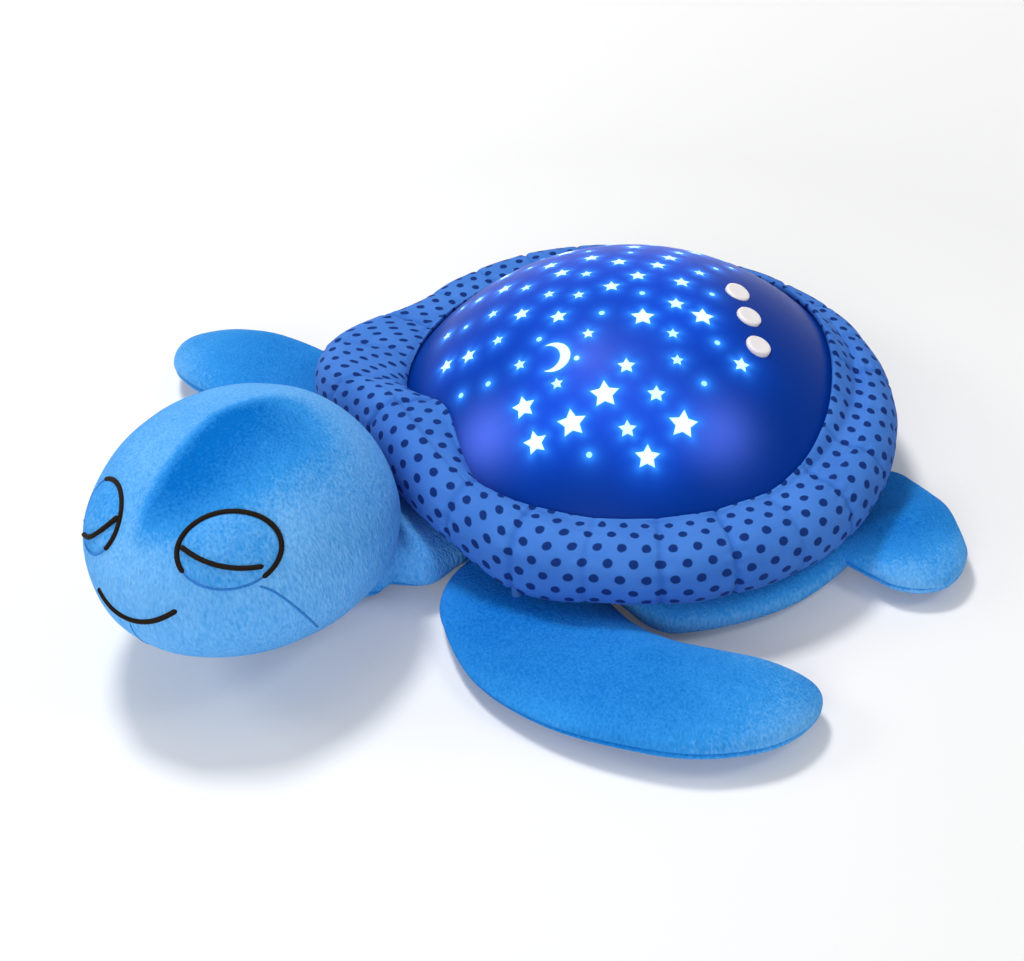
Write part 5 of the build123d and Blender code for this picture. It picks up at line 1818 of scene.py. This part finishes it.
# Floor, light and camera
@dataclass
class Studio:
    """Pale floor, soft lamps and the camera at the photograph's angle. Sizes here are in metres."""

    azimuth: float = 59.0
    elevation: float = 38.5
    distance: float = 0.65
    lens: float = 50.27
    sensor: float = 36.0
    shift: tuple[float, float] = (-0.1158, -0.0239)
    clip: tuple[float, float] = (0.01, 50.0)
    # Lamps: name, place, size and power.
    lamps: tuple[tuple[str, tuple[float, float, float], float, float], ...] = (
        ("key", (-0.40, -0.10, 1.16), 0.25, 8.6),
        ("front", (-0.47, -0.87, 0.67), 0.35, 2.0),
        ("rear", (0.54, 0.55, 0.92), 0.35, 1.8),
        ("overhead", (-0.03, -0.22, 1.3), 0.5, 1.2),
        ("fill", (0.85, -0.85, 0.5), 0.9, 6.6))
    lamp_target: tuple[float, float, float] = (0.0, -0.03, 0.04)
    floor_half: float = 6.0
    floor_z: float = -0.0003
    # The floor's own light to the camera: at these distances from the toy, these strengths.
    lift_reach: tuple[float, float] = (0.3, 1.5)
    lift_strength: tuple[float, float] = (0.04, 0.85)
    # Strength of the world as a light, and as what the camera sees.
    world_strength: tuple[float, float] = (0.22, 1.0)

    def build(self) -> None:
        """Builds the floor, the world, the lamps and the camera."""
        scene = bpy.context.scene
        scene.view_settings.view_transform = "Standard"
        self.build_floor()
        self.build_world(scene)
        for name, spot, size, power in self.lamps:
            lamp = bpy.data.lights.new(name, "AREA")
            lamp.shape, lamp.size, lamp.energy = "DISK", size, power
            holder = bpy.data.objects.new(name, lamp)
            holder.location = spot
            ray = Vector(self.lamp_target) - Vector(spot)
            holder.rotation_euler = ray.to_track_quat("-Z", "Y").to_euler()
            scene.collection.objects.link(holder)
        a, e = math.radians(self.azimuth), math.radians(self.elevation)
        back = Vector((math.sin(a) * math.cos(e), -math.cos(a) * math.cos(e), math.sin(e)))
        camera = bpy.data.cameras.new("photo_camera")
        camera.lens, camera.sensor_width = self.lens, self.sensor
        camera.shift_x, camera.shift_y = self.shift
        camera.clip_start, camera.clip_end = self.clip
        holder = bpy.data.objects.new("photo_camera", camera)
        holder.location = back * self.distance
        holder.rotation_euler = (-back).to_track_quat("-Z", "Y").to_euler()
        scene.collection.objects.link(holder)
        scene.camera = holder

    @staticmethod
    def seen(tree: bpy.types.NodeTree) -> bpy.types.NodeSocket:
        """Tells rays that show the background from rays that light the toy.

        Args:
            tree: Node tree that gets the test.

        Returns:
            Output that is 1 for camera, glossy and transmission rays.
        """
        path = add_node(tree, "ShaderNodeLightPath")
        direct = add_node(tree, "ShaderNodeMath", {"operation": "MAXIMUM"},
                          {0: path.outputs["Is Camera Ray"], 1: path.outputs["Is Glossy Ray"]})
        both = add_node(tree, "ShaderNodeMath", {"operation": "MAXIMUM"},
                        {0: direct.outputs[0], 1: path.outputs["Is Transmission Ray"]})
        return both.outputs[0]

    def build_floor(self) -> None:
        """Builds a wide pale floor that keeps the toy's shadow and reads white to the camera."""
        # Matt white paper: no gloss, an even white that takes a soft shadow.
        material, tree, shader = new_material("paper_white_matt", {
            "Base Color": linear("#EFEFEF"), "Roughness": 0.9, "Specular IOR Level": 0.0,
            "Emission Color": linear("#FFFFFF")})
        place = add_node(tree, "ShaderNodeTexCoord").outputs["Object"]
        away = add_node(tree, "ShaderNodeVectorMath", {"operation": "LENGTH"}, {0: place})
        (near, far), (weak, strong) = self.lift_reach, self.lift_strength
        level = add_node(tree, "ShaderNodeMapRange", {1: near, 2: far, 3: weak, 4: strong},
                         {0: away.outputs["Value"]})
        lift = add_node(tree, "ShaderNodeMath", {"operation": "MULTIPLY"},
                        {0: self.seen(tree), 1: level.outputs[0]})
        tree.links.new(lift.outputs[0], shader.inputs["Emission Strength"])
        mesh = bpy.data.meshes.new("floor")
        r, z = self.floor_half, self.floor_z
        mesh.from_pydata([(-r, -r, z), (r, -r, z), (r, r, z), (-r, r, z)], [], [(0, 1, 2, 3)])
        mesh.materials.append(material)
        floor = bpy.data.objects.new("floor", mesh)
        bpy.context.scene.collection.objects.link(floor)

    def build_world(self, scene: bpy.types.Scene) -> None:
        """Builds an even white surround: full white to the camera, softer as a light.

        Args:
            scene: Scene that gets the world.
        """
        world = bpy.data.worlds.new("studio_white")
        world.use_nodes = True
        tree = world.node_tree
        sky = tree.nodes["Background"]
        sky.inputs["Color"].default_value = linear("#FFFFFF")
        light, shown = self.world_strength
        level = add_node(tree, "ShaderNodeMapRange", {3: light, 4: shown}, {0: self.seen(tree)})
        tree.links.new(level.outputs[0], sky.inputs["Strength"])
        scene.world = world


def main() -> None:
    """Builds the night light's pieces in order, then the studio."""
    logging.basicConfig(level=logging.INFO, format="%(name)s %(message)s")
    plush = PLUSH.material()
    unit = LightUnit()
    LOG.info("dressed %d hard parts", len(unit.dress()))
    left, right = "flipper_front_left", "flipper_front_right"
    front = [
        Flipper(f"{left}_plush", left, left, Side.LEFT, SHOULDER, heading=-8.8, length=137.0, bend=87.0,
                root=32.0, stations=FRONT_STATIONS, seed=2.0),
        Flipper(f"{right}_plush", right, right, Side.RIGHT, SHOULDER, heading=-8.8, length=124.0, bend=215.0,
                root=32.0, stations=FRONT_STATIONS, hump=8.0, swing=33.2, painted_shade_middle=0.28, seed=4.0)]
    swept = np.concatenate([flipper.sweep() for flipper in front])
    pieces = [unit.build_lining(), *StarDome().build(), RimRoll().build(), Belly().build(plush, swept)]
    pieces += [flipper.build(plush) for flipper in front]
    for side in Side:
        name = f"flipper_rear_{side.name.lower()}"
        rear = Flipper(f"{name}_plush", name, "body", side, HIP, heading=-3.0, length=62.0, bend=0.0,
                       root=14.0, stations=REAR_STATIONS, painted_shade_middle=0.24, seed=6.0 + side.value)
        pieces.append(rear.build(plush))
    pieces += Head().build(plush)
    pieces.append(Neck().build(plush))
    for piece in pieces:
        LOG.info("built %s, %d faces", piece.name, len(piece.data.polygons))
    Studio().build()


if __name__ == "__main__":
    main()
